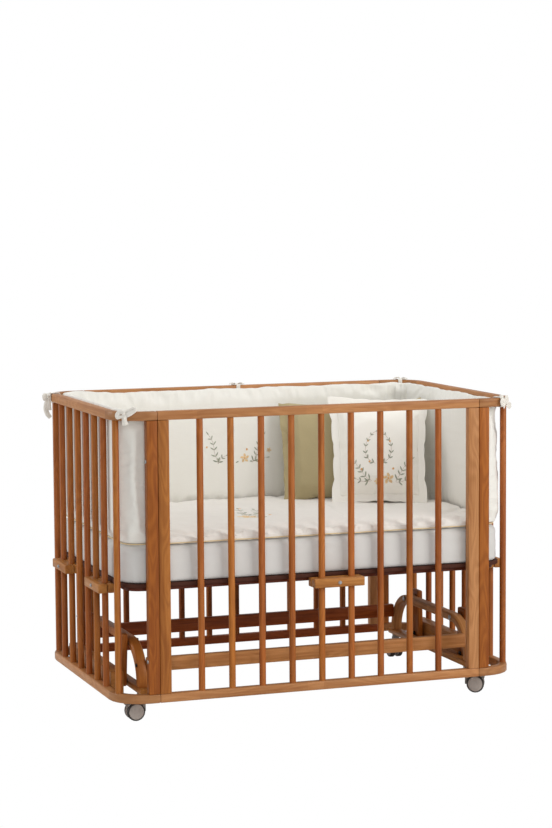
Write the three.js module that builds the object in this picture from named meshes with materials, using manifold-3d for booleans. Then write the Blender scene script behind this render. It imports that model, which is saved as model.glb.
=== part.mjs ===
// A glider crib for a baby: a beech cage that hangs on four swing arms from a wheeled stand.
// Millimetres, +Z up, +X to the right end, +Y to the back. The origin is on the floor, under the middle.
import * as THREE from 'three';
import { mergeVertices } from 'three/addons/utils/BufferGeometryUtils.js';
import Module from 'manifold-3d';

// ---- driving dimensions -------------------------------------------------------------------------
const CAGE_LENGTH = 1168;
const CAGE_WIDTH = 753;
const CAGE_CORNER_RADIUS = 90;
const CAGE_BOTTOM = 66;
const CAGE_TOP = 847;
const RAIL = 24;
const PANEL_LENGTH = 930;
const PANEL_JOINT = 1;
const POST_WIDTH = 31;
const END_POST_WIDTH = 30;
const SPINDLE_DIAMETER = 18;
const PANEL_SPINDLES = 9;
const PANEL_PITCH = 86.5;
const END_SPINDLES = 6;
const END_PITCH = 88;
const CORNER_SPINDLE_ANGLE = 24;
const RAIL_EDGE = 3.5;
const POST_EDGE = 2;
const BOARD_EDGE = 2.5;

const CLAMP_LENGTH = 145;
const CLAMP_HEIGHT = 25;
const CLAMP_DEPTH = 25.5;
const CLAMP_TOP = 374;
const CLAMP_SPLIT = 2;
const CLAMP_EDGE = 3;
const CLAMP_BOLT_RADIUS = 3;
const CLAMP_BOLT_INSET = 5;
const CLAMP_GROOVE_CLEARANCE = 0.6;

const BASE_THICKNESS = 10;
const BASE_FRAME_HEIGHT = 11;
const BASE_FRAME_WIDTH = 40;
const BASE_FRAME_INSET = 16;
const BASE_END_CLEARANCE = 3;
const BASE_SIDE_CLEARANCE = 2.5;
const BASE_CORNER_RADIUS = 62;
const BASE_FRAME_CORNER_RADIUS = 46;
const BASE_BAY_CORNER_RADIUS = 8;
const BASE_EDGE = 1;

const MATTRESS_THICKNESS = 101;
const MATTRESS_MARGIN = 6;
const MATTRESS_CORNER_RADIUS = 60;
const MATTRESS_EDGE = 16;
const QUILT_THICKNESS = 27;
const QUILT_CLEARANCE = 4;
const QUILT_CORNER_RADIUS = 34;
const QUILT_EDGE = 7;
const BUMPER_THICKNESS = 26;
const BUMPER_CLEARANCE = 3;
const BUMPER_END_X = 470;
const BUMPER_TOP = 838;
const BUMPER_LIFT = 4;
const BUMPER_EDGE = 6;

const ARCH_INNER_X = 470;
const ARCH_WIDTH = 28;
const ARCH_THICKNESS = 22;
const ARCH_HALF_SPAN = 276;
const ARCH_TOP = 210;
const ARCH_RADIUS = 115;
const ARCH_EDGE = 3;
const FOOT_BAR_BOTTOM = 73;
const FOOT_BAR_HEIGHT = 16;
const FOOT_BAR_WIDTH = 28;
const FOOT_BAR_HALF_LENGTH = 297;
const STAND_RAIL_HEIGHT = 38;
const STAND_RAIL_THICKNESS = 20;
const STAND_RAIL_BOTTOM = 130;
const STAND_RAIL_OVERLAP = 3;

const PIVOT_Y = 168;
const UPPER_PIVOT_Z = 199;
const LOWER_PIVOT_Z = 91;
const ARM_INNER_X = 503;
const ARM_THICKNESS = 16;
const ARM_ABOVE_PIVOT = 25;
const ARM_BELOW_PIVOT = 15;
const CROSS_BOARD_INNER_X = 524;
const CROSS_BOARD_TOP = 128;
const CROSS_BOARD_HALF_LENGTH = 223;
const LOWER_BOLT_REACH = 22;
const BOLT_RADIUS = 4;
const BOLT_HEAD_RADIUS = 7;
const BOLT_HEAD_HEIGHT = 4;
const BOLT_COLLAR_RADIUS = 10;
const BOLT_HOLE_RADIUS = 4.8;
const DRILL_LENGTH = 60;

const WHEEL_RADIUS = 25;
const WHEEL_THICKNESS = 13;
const WHEEL_GAP = 11;
const WHEEL_RIM = 2;
const AXLE_RADIUS = 4;
const AXLE_HOLE_RADIUS = 4.6;
const CASTER_Y = 262;
const CASTER_TRAIL = 21;
const CASTER_TURNS = { front_left: 180, front_right: -28, rear_left: 90, rear_right: 90 };
const HOUSING_CLEARANCE = 1;
const HOUSING_HUB_RADIUS = 9;
const HOUSING_WEB_HEIGHT = 40;
const HOUSING_MIDDLE_Z = 42;
const HOOD_WIDTH = 38;
const HOOD_CLEARANCE = 3;
const HOOD_THICKNESS = 3;
const STEM_RADIUS = 8;
const STEM_BOTTOM = 50;
const STEM_COLLAR_RADIUS = 14;
const STEM_COLLAR_HEIGHT = 6;

const GAP = 0.3;

// ---- values worked out from them ----------------------------------------------------------------
const HALF_LENGTH = CAGE_LENGTH / 2;
const HALF_WIDTH = CAGE_WIDTH / 2;
const PANEL_HALF = PANEL_LENGTH / 2;
const END_START = PANEL_HALF + PANEL_JOINT;
const RAIL_TOP = CAGE_BOTTOM + RAIL;
const TOP_RAIL_BOTTOM = CAGE_TOP - RAIL;
const SPINDLE_Y = HALF_WIDTH - RAIL / 2;
const SPINDLE_X = HALF_LENGTH - RAIL / 2;
const INNER_X = HALF_LENGTH - RAIL;
const INNER_Y = HALF_WIDTH - RAIL;
const CROSS_BOARD_THICKNESS = INNER_X - GAP - CROSS_BOARD_INNER_X;
const BASE_BOTTOM = CLAMP_TOP + GAP;
const BASE_TOP = BASE_BOTTOM + BASE_THICKNESS;
const MATTRESS_BOTTOM = BASE_TOP + GAP;
const MATTRESS_TOP = MATTRESS_BOTTOM + MATTRESS_THICKNESS;
const QUILT_TOP = MATTRESS_TOP + GAP + QUILT_THICKNESS;
const CASTER_X = ARCH_INNER_X + ARCH_WIDTH / 2;

const LEFT_RIGHT = [['left', -1], ['right', 1]];
const FRONT_REAR = [['front', -1], ['rear', 1]];

// ---- materials ----------------------------------------------------------------------------------
const material = (color, roughness, metalness = 0) =>
  new THREE.MeshStandardMaterial({ color, roughness, metalness });
const beech = material(0xbd7c4e, 0.45);
const darkBoard = material(0x3b2417, 0.7);
const steel = material(0x9a9a98, 0.35, 0.9);
const blackSteel = material(0x1c1b1a, 0.5, 0.6);
const greyPlastic = material(0x9a9088, 0.5);
const wheelPlastic = material(0x6b645c, 0.45);
const ivoryCloth = material(0xebe6d7, 0.95);
const sageCloth = material(0xa59b78, 0.95);

// ---- joins and cuts -----------------------------------------------------------------------------
const wasm = await Module();
wasm.setup();

function toSolid(geometry) {
  const bare = geometry.index ? geometry.toNonIndexed() : geometry.clone();
  bare.deleteAttribute('normal');
  bare.deleteAttribute('uv');
  const merged = mergeVertices(bare, 1e-4);
  return new wasm.Manifold(new wasm.Mesh({
    numProp: 3,
    vertProperties: new Float32Array(merged.attributes.position.array),
    triVerts: new Uint32Array(merged.index.array),
  }));
}

function toGeometry(solid) {
  const mesh = solid.getMesh();
  const geometry = new THREE.BufferGeometry();
  geometry.setAttribute('position', new THREE.BufferAttribute(new Float32Array(mesh.vertProperties), 3));
  geometry.setIndex(new THREE.BufferAttribute(new Uint32Array(mesh.triVerts), 1));
  geometry.computeVertexNormals();
  return geometry;
}

const join = (...parts) => toGeometry(parts.map(toSolid).reduce((all, next) => all.add(next)));
const cut = (body, ...tools) =>
  toGeometry(tools.map(toSolid).reduce((all, next) => all.subtract(next), toSolid(body)));

// ---- shapes -------------------------------------------------------------------------------------
function roundedRectangle(width, height, radius) {
  const shape = new THREE.Shape();
  const x = width / 2;
  const y = height / 2;
  shape.moveTo(-x + radius, -y);
  shape.lineTo(x - radius, -y);
  shape.absarc(x - radius, -y + radius, radius, -Math.PI / 2, 0);
  shape.lineTo(x, y - radius);
  shape.absarc(x - radius, y - radius, radius, 0, Math.PI / 2);
  shape.lineTo(-x + radius, y);
  shape.absarc(-x + radius, y - radius, radius, Math.PI / 2, Math.PI);
  shape.lineTo(-x, -y + radius);
  shape.absarc(-x + radius, -y + radius, radius, Math.PI, 1.5 * Math.PI);
  return shape;
}

// A shape drawn in X and Y, pushed up along Z from 0 to height, with its top and bottom edges rounded.
function slab(shape, height, edge, edgeSteps = 2, arcSteps = 4) {
  return new THREE.ExtrudeGeometry(shape, {
    depth: height - 2 * edge,
    bevelEnabled: true,
    bevelThickness: edge,
    bevelSize: edge,
    bevelOffset: -edge,
    bevelSegments: edgeSteps,
    curveSegments: arcSteps,
  }).translate(0, 0, edge);
}

// A straight bar with rounded long edges, its length along Z from 0.
const bar = (length, width, depth, edge) =>
  slab(roundedRectangle(width, depth, edge), length, edge / 3, 1, 1);
const alongX = (geometry) => geometry.rotateY(Math.PI / 2);
const alongY = (geometry) => geometry.rotateX(-Math.PI / 2);

function rod(radius, length, sides = 16) {
  return new THREE.CylinderGeometry(radius, radius, length, sides)
    .rotateX(Math.PI / 2)
    .translate(0, 0, length / 2);
}

// The tool that drills a hole along X, centred on a point.
const drillX = (radius, x, y, z) =>
  alongX(rod(radius, DRILL_LENGTH, 12)).translate(x - DRILL_LENGTH / 2, y, z);

// A disc or a tube's tool with its axis along Y, centred on a point.
const discY = (radius, width, x, z, sides = 20) =>
  rod(radius, width, sides).rotateX(Math.PI / 2).translate(x, width / 2, z);

// ---- the tree of pieces -------------------------------------------------------------------------
const crib = new THREE.Group();
crib.name = 'glider_crib';

function place(name, geometry, surface, parent = crib) {
  const mesh = new THREE.Mesh(geometry, surface);
  mesh.name = name;
  parent.add(mesh);
  return mesh;
}

// ---- cage ---------------------------------------------------------------------------------------
// One end rail seen from above: a U that turns both corners and stops where the long panels begin.
function endRailShape() {
  const shape = new THREE.Shape();
  const cornerX = HALF_LENGTH - CAGE_CORNER_RADIUS;
  const cornerY = HALF_WIDTH - CAGE_CORNER_RADIUS;
  const inner = CAGE_CORNER_RADIUS - RAIL;
  shape.moveTo(END_START, -HALF_WIDTH);
  shape.lineTo(cornerX, -HALF_WIDTH);
  shape.absarc(cornerX, -cornerY, CAGE_CORNER_RADIUS, -Math.PI / 2, 0);
  shape.lineTo(HALF_LENGTH, cornerY);
  shape.absarc(cornerX, cornerY, CAGE_CORNER_RADIUS, 0, Math.PI / 2);
  shape.lineTo(END_START, HALF_WIDTH);
  shape.lineTo(END_START, INNER_Y);
  shape.lineTo(cornerX, INNER_Y);
  shape.absarc(cornerX, cornerY, inner, Math.PI / 2, 0, true);
  shape.lineTo(INNER_X, -cornerY);
  shape.absarc(cornerX, -cornerY, inner, 0, -Math.PI / 2, true);
  shape.lineTo(END_START, -INNER_Y);
  shape.closePath();
  return shape;
}

const endRail = () => slab(endRailShape(), RAIL, RAIL_EDGE, 2, 3);
const panelRail = () => alongX(bar(PANEL_LENGTH, RAIL, RAIL, RAIL_EDGE)).translate(-PANEL_HALF, 0, 0);

function spindle(x, y) {
  const foot = CAGE_BOTTOM + RAIL / 2;
  return rod(SPINDLE_DIAMETER / 2, TOP_RAIL_BOTTOM - GAP - foot).translate(x, y, foot);
}

function panelSpindles(y) {
  return Array.from({ length: PANEL_SPINDLES }, (_, i) =>
    spindle((i - (PANEL_SPINDLES - 1) / 2) * PANEL_PITCH, y));
}

function endSpindles() {
  const straight = Array.from({ length: END_SPINDLES }, (_, i) =>
    spindle(SPINDLE_X, (i - (END_SPINDLES - 1) / 2) * END_PITCH));
  const angle = THREE.MathUtils.degToRad(CORNER_SPINDLE_ANGLE);
  const reach = CAGE_CORNER_RADIUS - RAIL / 2;
  const x = HALF_LENGTH - CAGE_CORNER_RADIUS + reach * Math.cos(angle);
  const y = HALF_WIDTH - CAGE_CORNER_RADIUS + reach * Math.sin(angle);
  return [...straight, spindle(x, -y), spindle(x, y)];
}

for (const [name, side] of [['front', -1], ['back', 1]]) {
  const y = side * SPINDLE_Y;
  const bottom = panelRail().translate(0, y, CAGE_BOTTOM + RAIL / 2);
  const top = panelRail().translate(0, y, CAGE_TOP - RAIL / 2);
  place(`${name}_bottom_rail_and_spindles`, join(bottom, ...panelSpindles(y)), beech);
  place(`${name}_top_rail`, top, beech);
}

const postHeight = TOP_RAIL_BOTTOM - RAIL_TOP - 2 * GAP;
for (const [end, turn] of [['right', 0], ['left', Math.PI]]) {
  const bottom = endRail().translate(0, 0, CAGE_BOTTOM);
  const comb = join(bottom, ...endSpindles()).rotateZ(turn);
  place(`${end}_bottom_rail_and_spindles`, comb, beech);
  place(`${end}_top_rail`, endRail().translate(0, 0, CAGE_TOP - RAIL).rotateZ(turn), beech);
}

for (const [end, sx] of LEFT_RIGHT) {
  for (const [side, sy] of [['front', -1], ['back', 1]]) {
    const foot = RAIL_TOP + GAP;
    const post = place(`${side}_post_${end}`, bar(postHeight, POST_WIDTH, RAIL, POST_EDGE), beech);
    post.position.set(sx * (PANEL_HALF - POST_WIDTH / 2), sy * SPINDLE_Y, foot);
    const endPost = place(`${end}_end_post_${side}`, bar(postHeight, END_POST_WIDTH, RAIL, POST_EDGE), beech);
    endPost.position.set(sx * (END_START + END_POST_WIDTH / 2), sy * SPINDLE_Y, foot);
  }
}

// ---- cross boards inside the end rails, which carry the cage on the lower pivots ---------------
for (const [end, sx] of LEFT_RIGHT) {
  const length = 2 * CROSS_BOARD_HALF_LENGTH;
  const middleX = CROSS_BOARD_INNER_X + CROSS_BOARD_THICKNESS / 2;
  const middleZ = (CAGE_BOTTOM + CROSS_BOARD_TOP) / 2;
  const board = alongY(bar(length, CROSS_BOARD_THICKNESS, CROSS_BOARD_TOP - CAGE_BOTTOM, BOARD_EDGE))
    .translate(sx * middleX, -CROSS_BOARD_HALF_LENGTH, middleZ);
  const boreMiddleX = CROSS_BOARD_INNER_X + LOWER_BOLT_REACH + GAP - DRILL_LENGTH / 2;
  const holes = FRONT_REAR.map(([, sy]) =>
    drillX(BOLT_RADIUS + GAP, sx * boreMiddleX, sy * PIVOT_Y, LOWER_PIVOT_Z));
  place(`cross_board_${end}`, cut(board, ...holes), beech);
}

// ---- stand --------------------------------------------------------------------------------------
// The bent-wood arch from the side: legs, two round shoulders and a flat top, drawn with Z as shape Y.
function archShape() {
  const shape = new THREE.Shape();
  const foot = FOOT_BAR_BOTTOM + FOOT_BAR_HEIGHT + GAP;
  const shoulder = ARCH_HALF_SPAN - ARCH_RADIUS;
  const springing = ARCH_TOP - ARCH_RADIUS;
  const innerSpan = ARCH_HALF_SPAN - ARCH_THICKNESS;
  const innerRadius = ARCH_RADIUS - ARCH_THICKNESS;
  shape.moveTo(ARCH_HALF_SPAN, foot);
  shape.lineTo(ARCH_HALF_SPAN, springing);
  shape.absarc(shoulder, springing, ARCH_RADIUS, 0, Math.PI / 2);
  shape.lineTo(-shoulder, ARCH_TOP);
  shape.absarc(-shoulder, springing, ARCH_RADIUS, Math.PI / 2, Math.PI);
  shape.lineTo(-ARCH_HALF_SPAN, foot);
  shape.lineTo(-innerSpan, foot);
  shape.lineTo(-innerSpan, springing);
  shape.absarc(-shoulder, springing, innerRadius, Math.PI, Math.PI / 2, true);
  shape.lineTo(shoulder, ARCH_TOP - ARCH_THICKNESS);
  shape.absarc(shoulder, springing, innerRadius, Math.PI / 2, 0, true);
  shape.lineTo(innerSpan, foot);
  shape.closePath();
  return shape;
}

// Stands a shape that was drawn with Y across and Z up on its edge, so that its thickness runs along +X.
const upright = (geometry) => geometry.rotateZ(Math.PI / 2).rotateY(Math.PI / 2);

for (const [end, sx] of LEFT_RIGHT) {
  const x = sx > 0 ? ARCH_INNER_X : -ARCH_INNER_X - ARCH_WIDTH;
  const arch = upright(slab(archShape(), ARCH_WIDTH, ARCH_EDGE, 1, 5)).translate(x, 0, 0);
  const holes = FRONT_REAR.map(([, sy]) =>
    drillX(BOLT_RADIUS + GAP, sx * CASTER_X, sy * PIVOT_Y, UPPER_PIVOT_Z));
  place(`arch_${end}`, cut(arch, ...holes), beech);

  const footBar = place(
    `foot_bar_${end}`,
    alongY(bar(2 * FOOT_BAR_HALF_LENGTH, FOOT_BAR_WIDTH, FOOT_BAR_HEIGHT, BOARD_EDGE)),
    beech,
  );
  footBar.position.set(sx * CASTER_X, -FOOT_BAR_HALF_LENGTH, FOOT_BAR_BOTTOM + FOOT_BAR_HEIGHT / 2);
}

for (const [side, sy] of FRONT_REAR) {
  const halfLength = ARCH_INNER_X - GAP;
  const y = sy * (ARCH_HALF_SPAN - ARCH_THICKNESS + STAND_RAIL_THICKNESS / 2 - STAND_RAIL_OVERLAP);
  const rail = place(
    `stand_rail_${side}`,
    alongX(bar(2 * halfLength, STAND_RAIL_HEIGHT, STAND_RAIL_THICKNESS, BOARD_EDGE)),
    beech,
  );
  rail.position.set(-halfLength, y, STAND_RAIL_BOTTOM + STAND_RAIL_HEIGHT / 2);
}

// ---- swing arms ---------------------------------------------------------------------------------
// A tapered board, wide at the upper pivot. The pivots lie one above the other on the shape's Y axis.
function armShape() {
  const shape = new THREE.Shape();
  const top = UPPER_PIVOT_Z + ARM_ABOVE_PIVOT;
  const bottom = LOWER_PIVOT_Z - ARM_BELOW_PIVOT;
  const topInner = -23;
  const topOuter = 31;
  const bottomInner = -29;
  const bottomOuter = 13;
  const round = 4;
  shape.moveTo(bottomInner + round, bottom);
  shape.lineTo(bottomOuter - round, bottom);
  shape.quadraticCurveTo(bottomOuter, bottom, bottomOuter + 1, bottom + round);
  shape.lineTo(topOuter - 1, top - round);
  shape.quadraticCurveTo(topOuter, top, topOuter - round, top);
  shape.lineTo(topInner + round, top);
  shape.quadraticCurveTo(topInner, top, topInner, top - round);
  shape.lineTo(bottomInner, bottom + round);
  shape.quadraticCurveTo(bottomInner, bottom, bottomInner + round, bottom);
  return shape;
}

// A turned bolt along +X from 0: head, shank, one spacer collar part of the way along, and any nut.
function pivotBolt(length, collarStart, collarEnd, hasNut) {
  const bottom = -BOLT_HEAD_HEIGHT;
  const top = length + BOLT_HEAD_HEIGHT;
  const nut = [[BOLT_HEAD_RADIUS, length], [BOLT_HEAD_RADIUS, top], [0, top]];
  const profile = [
    [0, bottom], [BOLT_HEAD_RADIUS, bottom], [BOLT_HEAD_RADIUS, 0],
    [BOLT_RADIUS, 0], [BOLT_RADIUS, collarStart], [BOLT_COLLAR_RADIUS, collarStart],
    [BOLT_COLLAR_RADIUS, collarEnd], [BOLT_RADIUS, collarEnd], [BOLT_RADIUS, length],
    ...(hasNut ? nut : [[0, length]]),
  ].map(([r, z]) => new THREE.Vector2(r, z));
  return new THREE.LatheGeometry(profile, 10).rotateZ(-Math.PI / 2);
}

for (const [end, sx] of LEFT_RIGHT) {
  for (const [side, sy] of FRONT_REAR) {
    const arm = slab(armShape(), ARM_THICKNESS, BOARD_EDGE, 1, 2);
    const armX = sx > 0 ? ARM_INNER_X : -ARM_INNER_X - ARM_THICKNESS;
    const standing = upright(arm);
    if (sy < 0) {
      standing.rotateZ(Math.PI).translate(ARM_THICKNESS, 0, 0);
    }
    standing.translate(armX, sy * PIVOT_Y, 0);
    const holes = [UPPER_PIVOT_Z, LOWER_PIVOT_Z].map((z) =>
      drillX(BOLT_HOLE_RADIUS, armX + ARM_THICKNESS / 2, sy * PIVOT_Y, z));
    place(`swing_arm_${side}_${end}`, cut(standing, ...holes), beech);

    const upperStart = ARCH_INNER_X - GAP;
    const upperLength = ARM_INNER_X + ARM_THICKNESS + GAP - upperStart;
    const upper = pivotBolt(
      upperLength,
      ARCH_INNER_X + ARCH_WIDTH + GAP - upperStart,
      ARM_INNER_X - GAP - upperStart,
      true,
    ).translate(upperStart, 0, 0);
    const lowerStart = ARM_INNER_X - GAP;
    const lowerLength = CROSS_BOARD_INNER_X + LOWER_BOLT_REACH - lowerStart;
    const lower = pivotBolt(
      lowerLength,
      ARM_INNER_X + ARM_THICKNESS + GAP - lowerStart,
      CROSS_BOARD_INNER_X - GAP - lowerStart,
      false,
    ).translate(lowerStart, 0, 0);
    for (const [level, bolt, z, surface] of [
      ['upper', upper, UPPER_PIVOT_Z, steel],
      ['lower', lower, LOWER_PIVOT_Z, blackSteel],
    ]) {
      const turned = sx > 0 ? bolt : bolt.rotateZ(Math.PI);
      place(`${level}_pivot_bolt_${side}_${end}`, turned.translate(0, sy * PIVOT_Y, z), surface);
    }
  }
}

// ---- casters ------------------------------------------------------------------------------------
// Two discs on one axle, the axle along Y through the origin.
function wheelPair() {
  const start = WHEEL_GAP / 2;
  const end = start + WHEEL_THICKNESS;
  const face = WHEEL_RADIUS - WHEEL_RIM;
  const profile = [
    [0, -end], [face, -end], [WHEEL_RADIUS, -end + WHEEL_RIM],
    [WHEEL_RADIUS, -start], [AXLE_RADIUS, -start], [AXLE_RADIUS, start], [WHEEL_RADIUS, start],
    [WHEEL_RADIUS, end - WHEEL_RIM], [face, end], [0, end],
  ].map(([r, y]) => new THREE.Vector2(r, y));
  return new THREE.LatheGeometry(profile, 24);
}

// The swivelling housing, its stem along Z through the origin and the wheels' axle trailing towards +X.
function casterHousing() {
  const webThickness = WHEEL_GAP - 2 * HOUSING_CLEARANCE;
  const plateTop = FOOT_BAR_BOTTOM - GAP;
  const hoodRadius = WHEEL_RADIUS + HOOD_CLEARANCE;
  const web = alongX(bar(CASTER_TRAIL + 2 * HOUSING_HUB_RADIUS, HOUSING_WEB_HEIGHT, webThickness, 2))
    .translate(-HOUSING_HUB_RADIUS, 0, HOUSING_MIDDLE_Z);
  const hub = discY(HOUSING_HUB_RADIUS, webThickness, CASTER_TRAIL, WHEEL_RADIUS, 12);
  const hoodOuter = discY(hoodRadius + HOOD_THICKNESS, HOOD_WIDTH, CASTER_TRAIL, WHEEL_RADIUS);
  const hoodInner = discY(hoodRadius, DRILL_LENGTH, CASTER_TRAIL, WHEEL_RADIUS);
  const below = new THREE.BoxGeometry(2 * DRILL_LENGTH, 2 * DRILL_LENGTH, DRILL_LENGTH)
    .translate(0, 0, HOUSING_MIDDLE_Z - DRILL_LENGTH / 2);
  const hood = cut(hoodOuter, hoodInner, below);
  const stem = rod(STEM_RADIUS, plateTop - STEM_BOTTOM, 12).translate(0, 0, STEM_BOTTOM);
  const collar = rod(STEM_COLLAR_RADIUS, STEM_COLLAR_HEIGHT).translate(0, 0, plateTop - STEM_COLLAR_HEIGHT);
  const axleHole = discY(AXLE_HOLE_RADIUS, DRILL_LENGTH, CASTER_TRAIL, WHEEL_RADIUS, 12);
  return cut(join(web, hub, hood, stem, collar), axleHole);
}

for (const [end, sx] of LEFT_RIGHT) {
  for (const [side, sy] of FRONT_REAR) {
    const caster = new THREE.Group();
    caster.position.set(sx * CASTER_X, sy * CASTER_Y, 0);
    caster.rotation.z = THREE.MathUtils.degToRad(CASTER_TURNS[`${side}_${end}`]);
    crib.add(caster);
    place(`caster_housing_${side}_${end}`, casterHousing(), greyPlastic, caster);
    const wheels = place(`caster_wheels_${side}_${end}`, wheelPair(), wheelPlastic, caster);
    wheels.position.set(CASTER_TRAIL, 0, WHEEL_RADIUS);
  }
}

// ---- clamps that hold the mattress base on the spindles -----------------------------------------
// Two grooved blocks, one outside and one inside two spindles, drawn together by a bolt between them.
// Made with the spindles along Z at x = -pitch / 2 and +pitch / 2, and the outside of the crib at -Y.
function clamp(pitch) {
  const middle = CLAMP_TOP - CLAMP_HEIGHT / 2;
  const offset = CLAMP_SPLIT / 2 + CLAMP_DEPTH / 2;
  const reach = CLAMP_SPLIT / 2 + CLAMP_DEPTH - CLAMP_BOLT_INSET;
  const block = (near) => alongX(bar(CLAMP_LENGTH, CLAMP_HEIGHT, CLAMP_DEPTH, CLAMP_EDGE))
    .translate(-CLAMP_LENGTH / 2, near, middle);
  const grooves = [-1, 1].map((side) =>
    rod(SPINDLE_DIAMETER / 2 + CLAMP_GROOVE_CLEARANCE, DRILL_LENGTH, 12)
      .translate(side * pitch / 2, 0, middle - DRILL_LENGTH / 2));
  const bolt = alongY(rod(CLAMP_BOLT_RADIUS, 2 * reach, 6)).translate(0, -reach, middle);
  return cut(join(block(-offset), block(offset), bolt), ...grooves);
}

const panelClampX = PANEL_PITCH / 2;
const endClampY = 2 * END_PITCH;
for (const [name, pitch, x, y, turn] of [
  ['clamp_front', PANEL_PITCH, panelClampX, -SPINDLE_Y, 0],
  ['clamp_back', PANEL_PITCH, panelClampX, SPINDLE_Y, Math.PI],
  ['clamp_left_front', END_PITCH, -SPINDLE_X, -endClampY, -Math.PI / 2],
  ['clamp_left_back', END_PITCH, -SPINDLE_X, endClampY, -Math.PI / 2],
  ['clamp_right_front', END_PITCH, SPINDLE_X, -endClampY, Math.PI / 2],
  ['clamp_right_back', END_PITCH, SPINDLE_X, endClampY, Math.PI / 2],
]) {
  place(name, clamp(pitch).rotateZ(turn).translate(x, y, 0), beech);
}

// ---- mattress base ------------------------------------------------------------------------------
const BASE_HALF_LENGTH = INNER_X - BASE_END_CLEARANCE;
const BASE_HALF_WIDTH = INNER_Y - BASE_SIDE_CLEARANCE;
const baseShape = roundedRectangle(2 * BASE_HALF_LENGTH, 2 * BASE_HALF_WIDTH, BASE_CORNER_RADIUS);
place('base_board', slab(baseShape, BASE_THICKNESS, BASE_EDGE, 1).translate(0, 0, BASE_BOTTOM), darkBoard);

// The frame under the board: a rim and one cross member, with an open bay on each side of it.
function baseFrameShape() {
  const outerX = BASE_HALF_LENGTH - BASE_FRAME_INSET;
  const outerY = BASE_HALF_WIDTH - BASE_FRAME_INSET;
  const shape = roundedRectangle(2 * outerX, 2 * outerY, BASE_FRAME_CORNER_RADIUS);
  const bayLength = outerX - BASE_FRAME_WIDTH * 1.5;
  const bayWidth = 2 * (outerY - BASE_FRAME_WIDTH);
  for (const side of [-1, 1]) {
    const centre = side * (BASE_FRAME_WIDTH + bayLength) / 2;
    const bay = roundedRectangle(bayLength, bayWidth, BASE_BAY_CORNER_RADIUS).getPoints(1);
    const outline = bay.map((p) => new THREE.Vector2(p.x + centre, p.y)).reverse();
    shape.holes.push(new THREE.Path(outline));
  }
  return shape;
}
const baseFrame = slab(baseFrameShape(), BASE_FRAME_HEIGHT, BASE_EDGE, 1, 2);
place('base_frame', baseFrame.translate(0, 0, BASE_BOTTOM - GAP - BASE_FRAME_HEIGHT), beech);

// ---- bedding: plain solids of the right size and place ------------------------------------------
const mattressHalfLength = INNER_X - MATTRESS_MARGIN;
const mattressHalfWidth = INNER_Y - MATTRESS_MARGIN;
const mattressShape = roundedRectangle(2 * mattressHalfLength, 2 * mattressHalfWidth, MATTRESS_CORNER_RADIUS);
const mattress = slab(mattressShape, MATTRESS_THICKNESS, MATTRESS_EDGE, 2, 3);
place('mattress', mattress.translate(0, 0, MATTRESS_BOTTOM), ivoryCloth);

const bumperOuterX = INNER_X - BUMPER_CLEARANCE;
const bumperOuterY = INNER_Y - BUMPER_CLEARANCE;
const bumperInnerX = bumperOuterX - BUMPER_THICKNESS;
const bumperInnerY = bumperOuterY - BUMPER_THICKNESS;

// The bumper from above: round three sides of the cage and a little way along the front.
function bumperShape() {
  const shape = new THREE.Shape();
  const cornerX = HALF_LENGTH - CAGE_CORNER_RADIUS;
  const cornerY = HALF_WIDTH - CAGE_CORNER_RADIUS;
  const outer = bumperOuterX - cornerX;
  const inner = bumperInnerX - cornerX;
  shape.moveTo(BUMPER_END_X, -bumperOuterY);
  shape.lineTo(cornerX, -bumperOuterY);
  shape.absarc(cornerX, -cornerY, outer, -Math.PI / 2, 0);
  shape.lineTo(bumperOuterX, cornerY);
  shape.absarc(cornerX, cornerY, outer, 0, Math.PI / 2);
  shape.lineTo(-cornerX, bumperOuterY);
  shape.absarc(-cornerX, cornerY, outer, Math.PI / 2, Math.PI);
  shape.lineTo(-bumperOuterX, -cornerY);
  shape.absarc(-cornerX, -cornerY, outer, Math.PI, 1.5 * Math.PI);
  shape.lineTo(-BUMPER_END_X, -bumperOuterY);
  shape.lineTo(-BUMPER_END_X, -bumperInnerY);
  shape.lineTo(-cornerX, -bumperInnerY);
  shape.absarc(-cornerX, -cornerY, inner, 1.5 * Math.PI, Math.PI, true);
  shape.lineTo(-bumperInnerX, cornerY);
  shape.absarc(-cornerX, cornerY, inner, Math.PI, Math.PI / 2, true);
  shape.lineTo(cornerX, bumperInnerY);
  shape.absarc(cornerX, cornerY, inner, Math.PI / 2, 0, true);
  shape.lineTo(bumperInnerX, -cornerY);
  shape.absarc(cornerX, -cornerY, inner, 0, -Math.PI / 2, true);
  shape.lineTo(BUMPER_END_X, -bumperInnerY);
  shape.closePath();
  return shape;
}

const BUMPER_BOTTOM = MATTRESS_TOP + BUMPER_LIFT;
const bumper = slab(bumperShape(), BUMPER_TOP - BUMPER_BOTTOM, BUMPER_EDGE, 1, 3);
place('bumper', bumper.translate(0, 0, BUMPER_BOTTOM), ivoryCloth);

// The quilt fills the bed inside the bumper and reaches the front spindles between its two ends.
function quiltShape() {
  const shape = new THREE.Shape();
  const x = bumperInnerX - QUILT_CLEARANCE;
  const back = bumperInnerY - QUILT_CLEARANCE;
  const front = mattressHalfWidth;
  const frontX = BUMPER_END_X - QUILT_CLEARANCE;
  const corner = QUILT_CORNER_RADIUS;
  shape.moveTo(-frontX, -front);
  shape.lineTo(frontX, -front);
  shape.lineTo(frontX, -back);
  shape.lineTo(x - corner, -back);
  shape.absarc(x - corner, -back + corner, corner, -Math.PI / 2, 0);
  shape.lineTo(x, back - corner);
  shape.absarc(x - corner, back - corner, corner, 0, Math.PI / 2);
  shape.lineTo(-x + corner, back);
  shape.absarc(-x + corner, back - corner, corner, Math.PI / 2, Math.PI);
  shape.lineTo(-x, -back + corner);
  shape.absarc(-x + corner, -back + corner, corner, Math.PI, 1.5 * Math.PI);
  shape.lineTo(-frontX, -back);
  shape.closePath();
  return shape;
}
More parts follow.
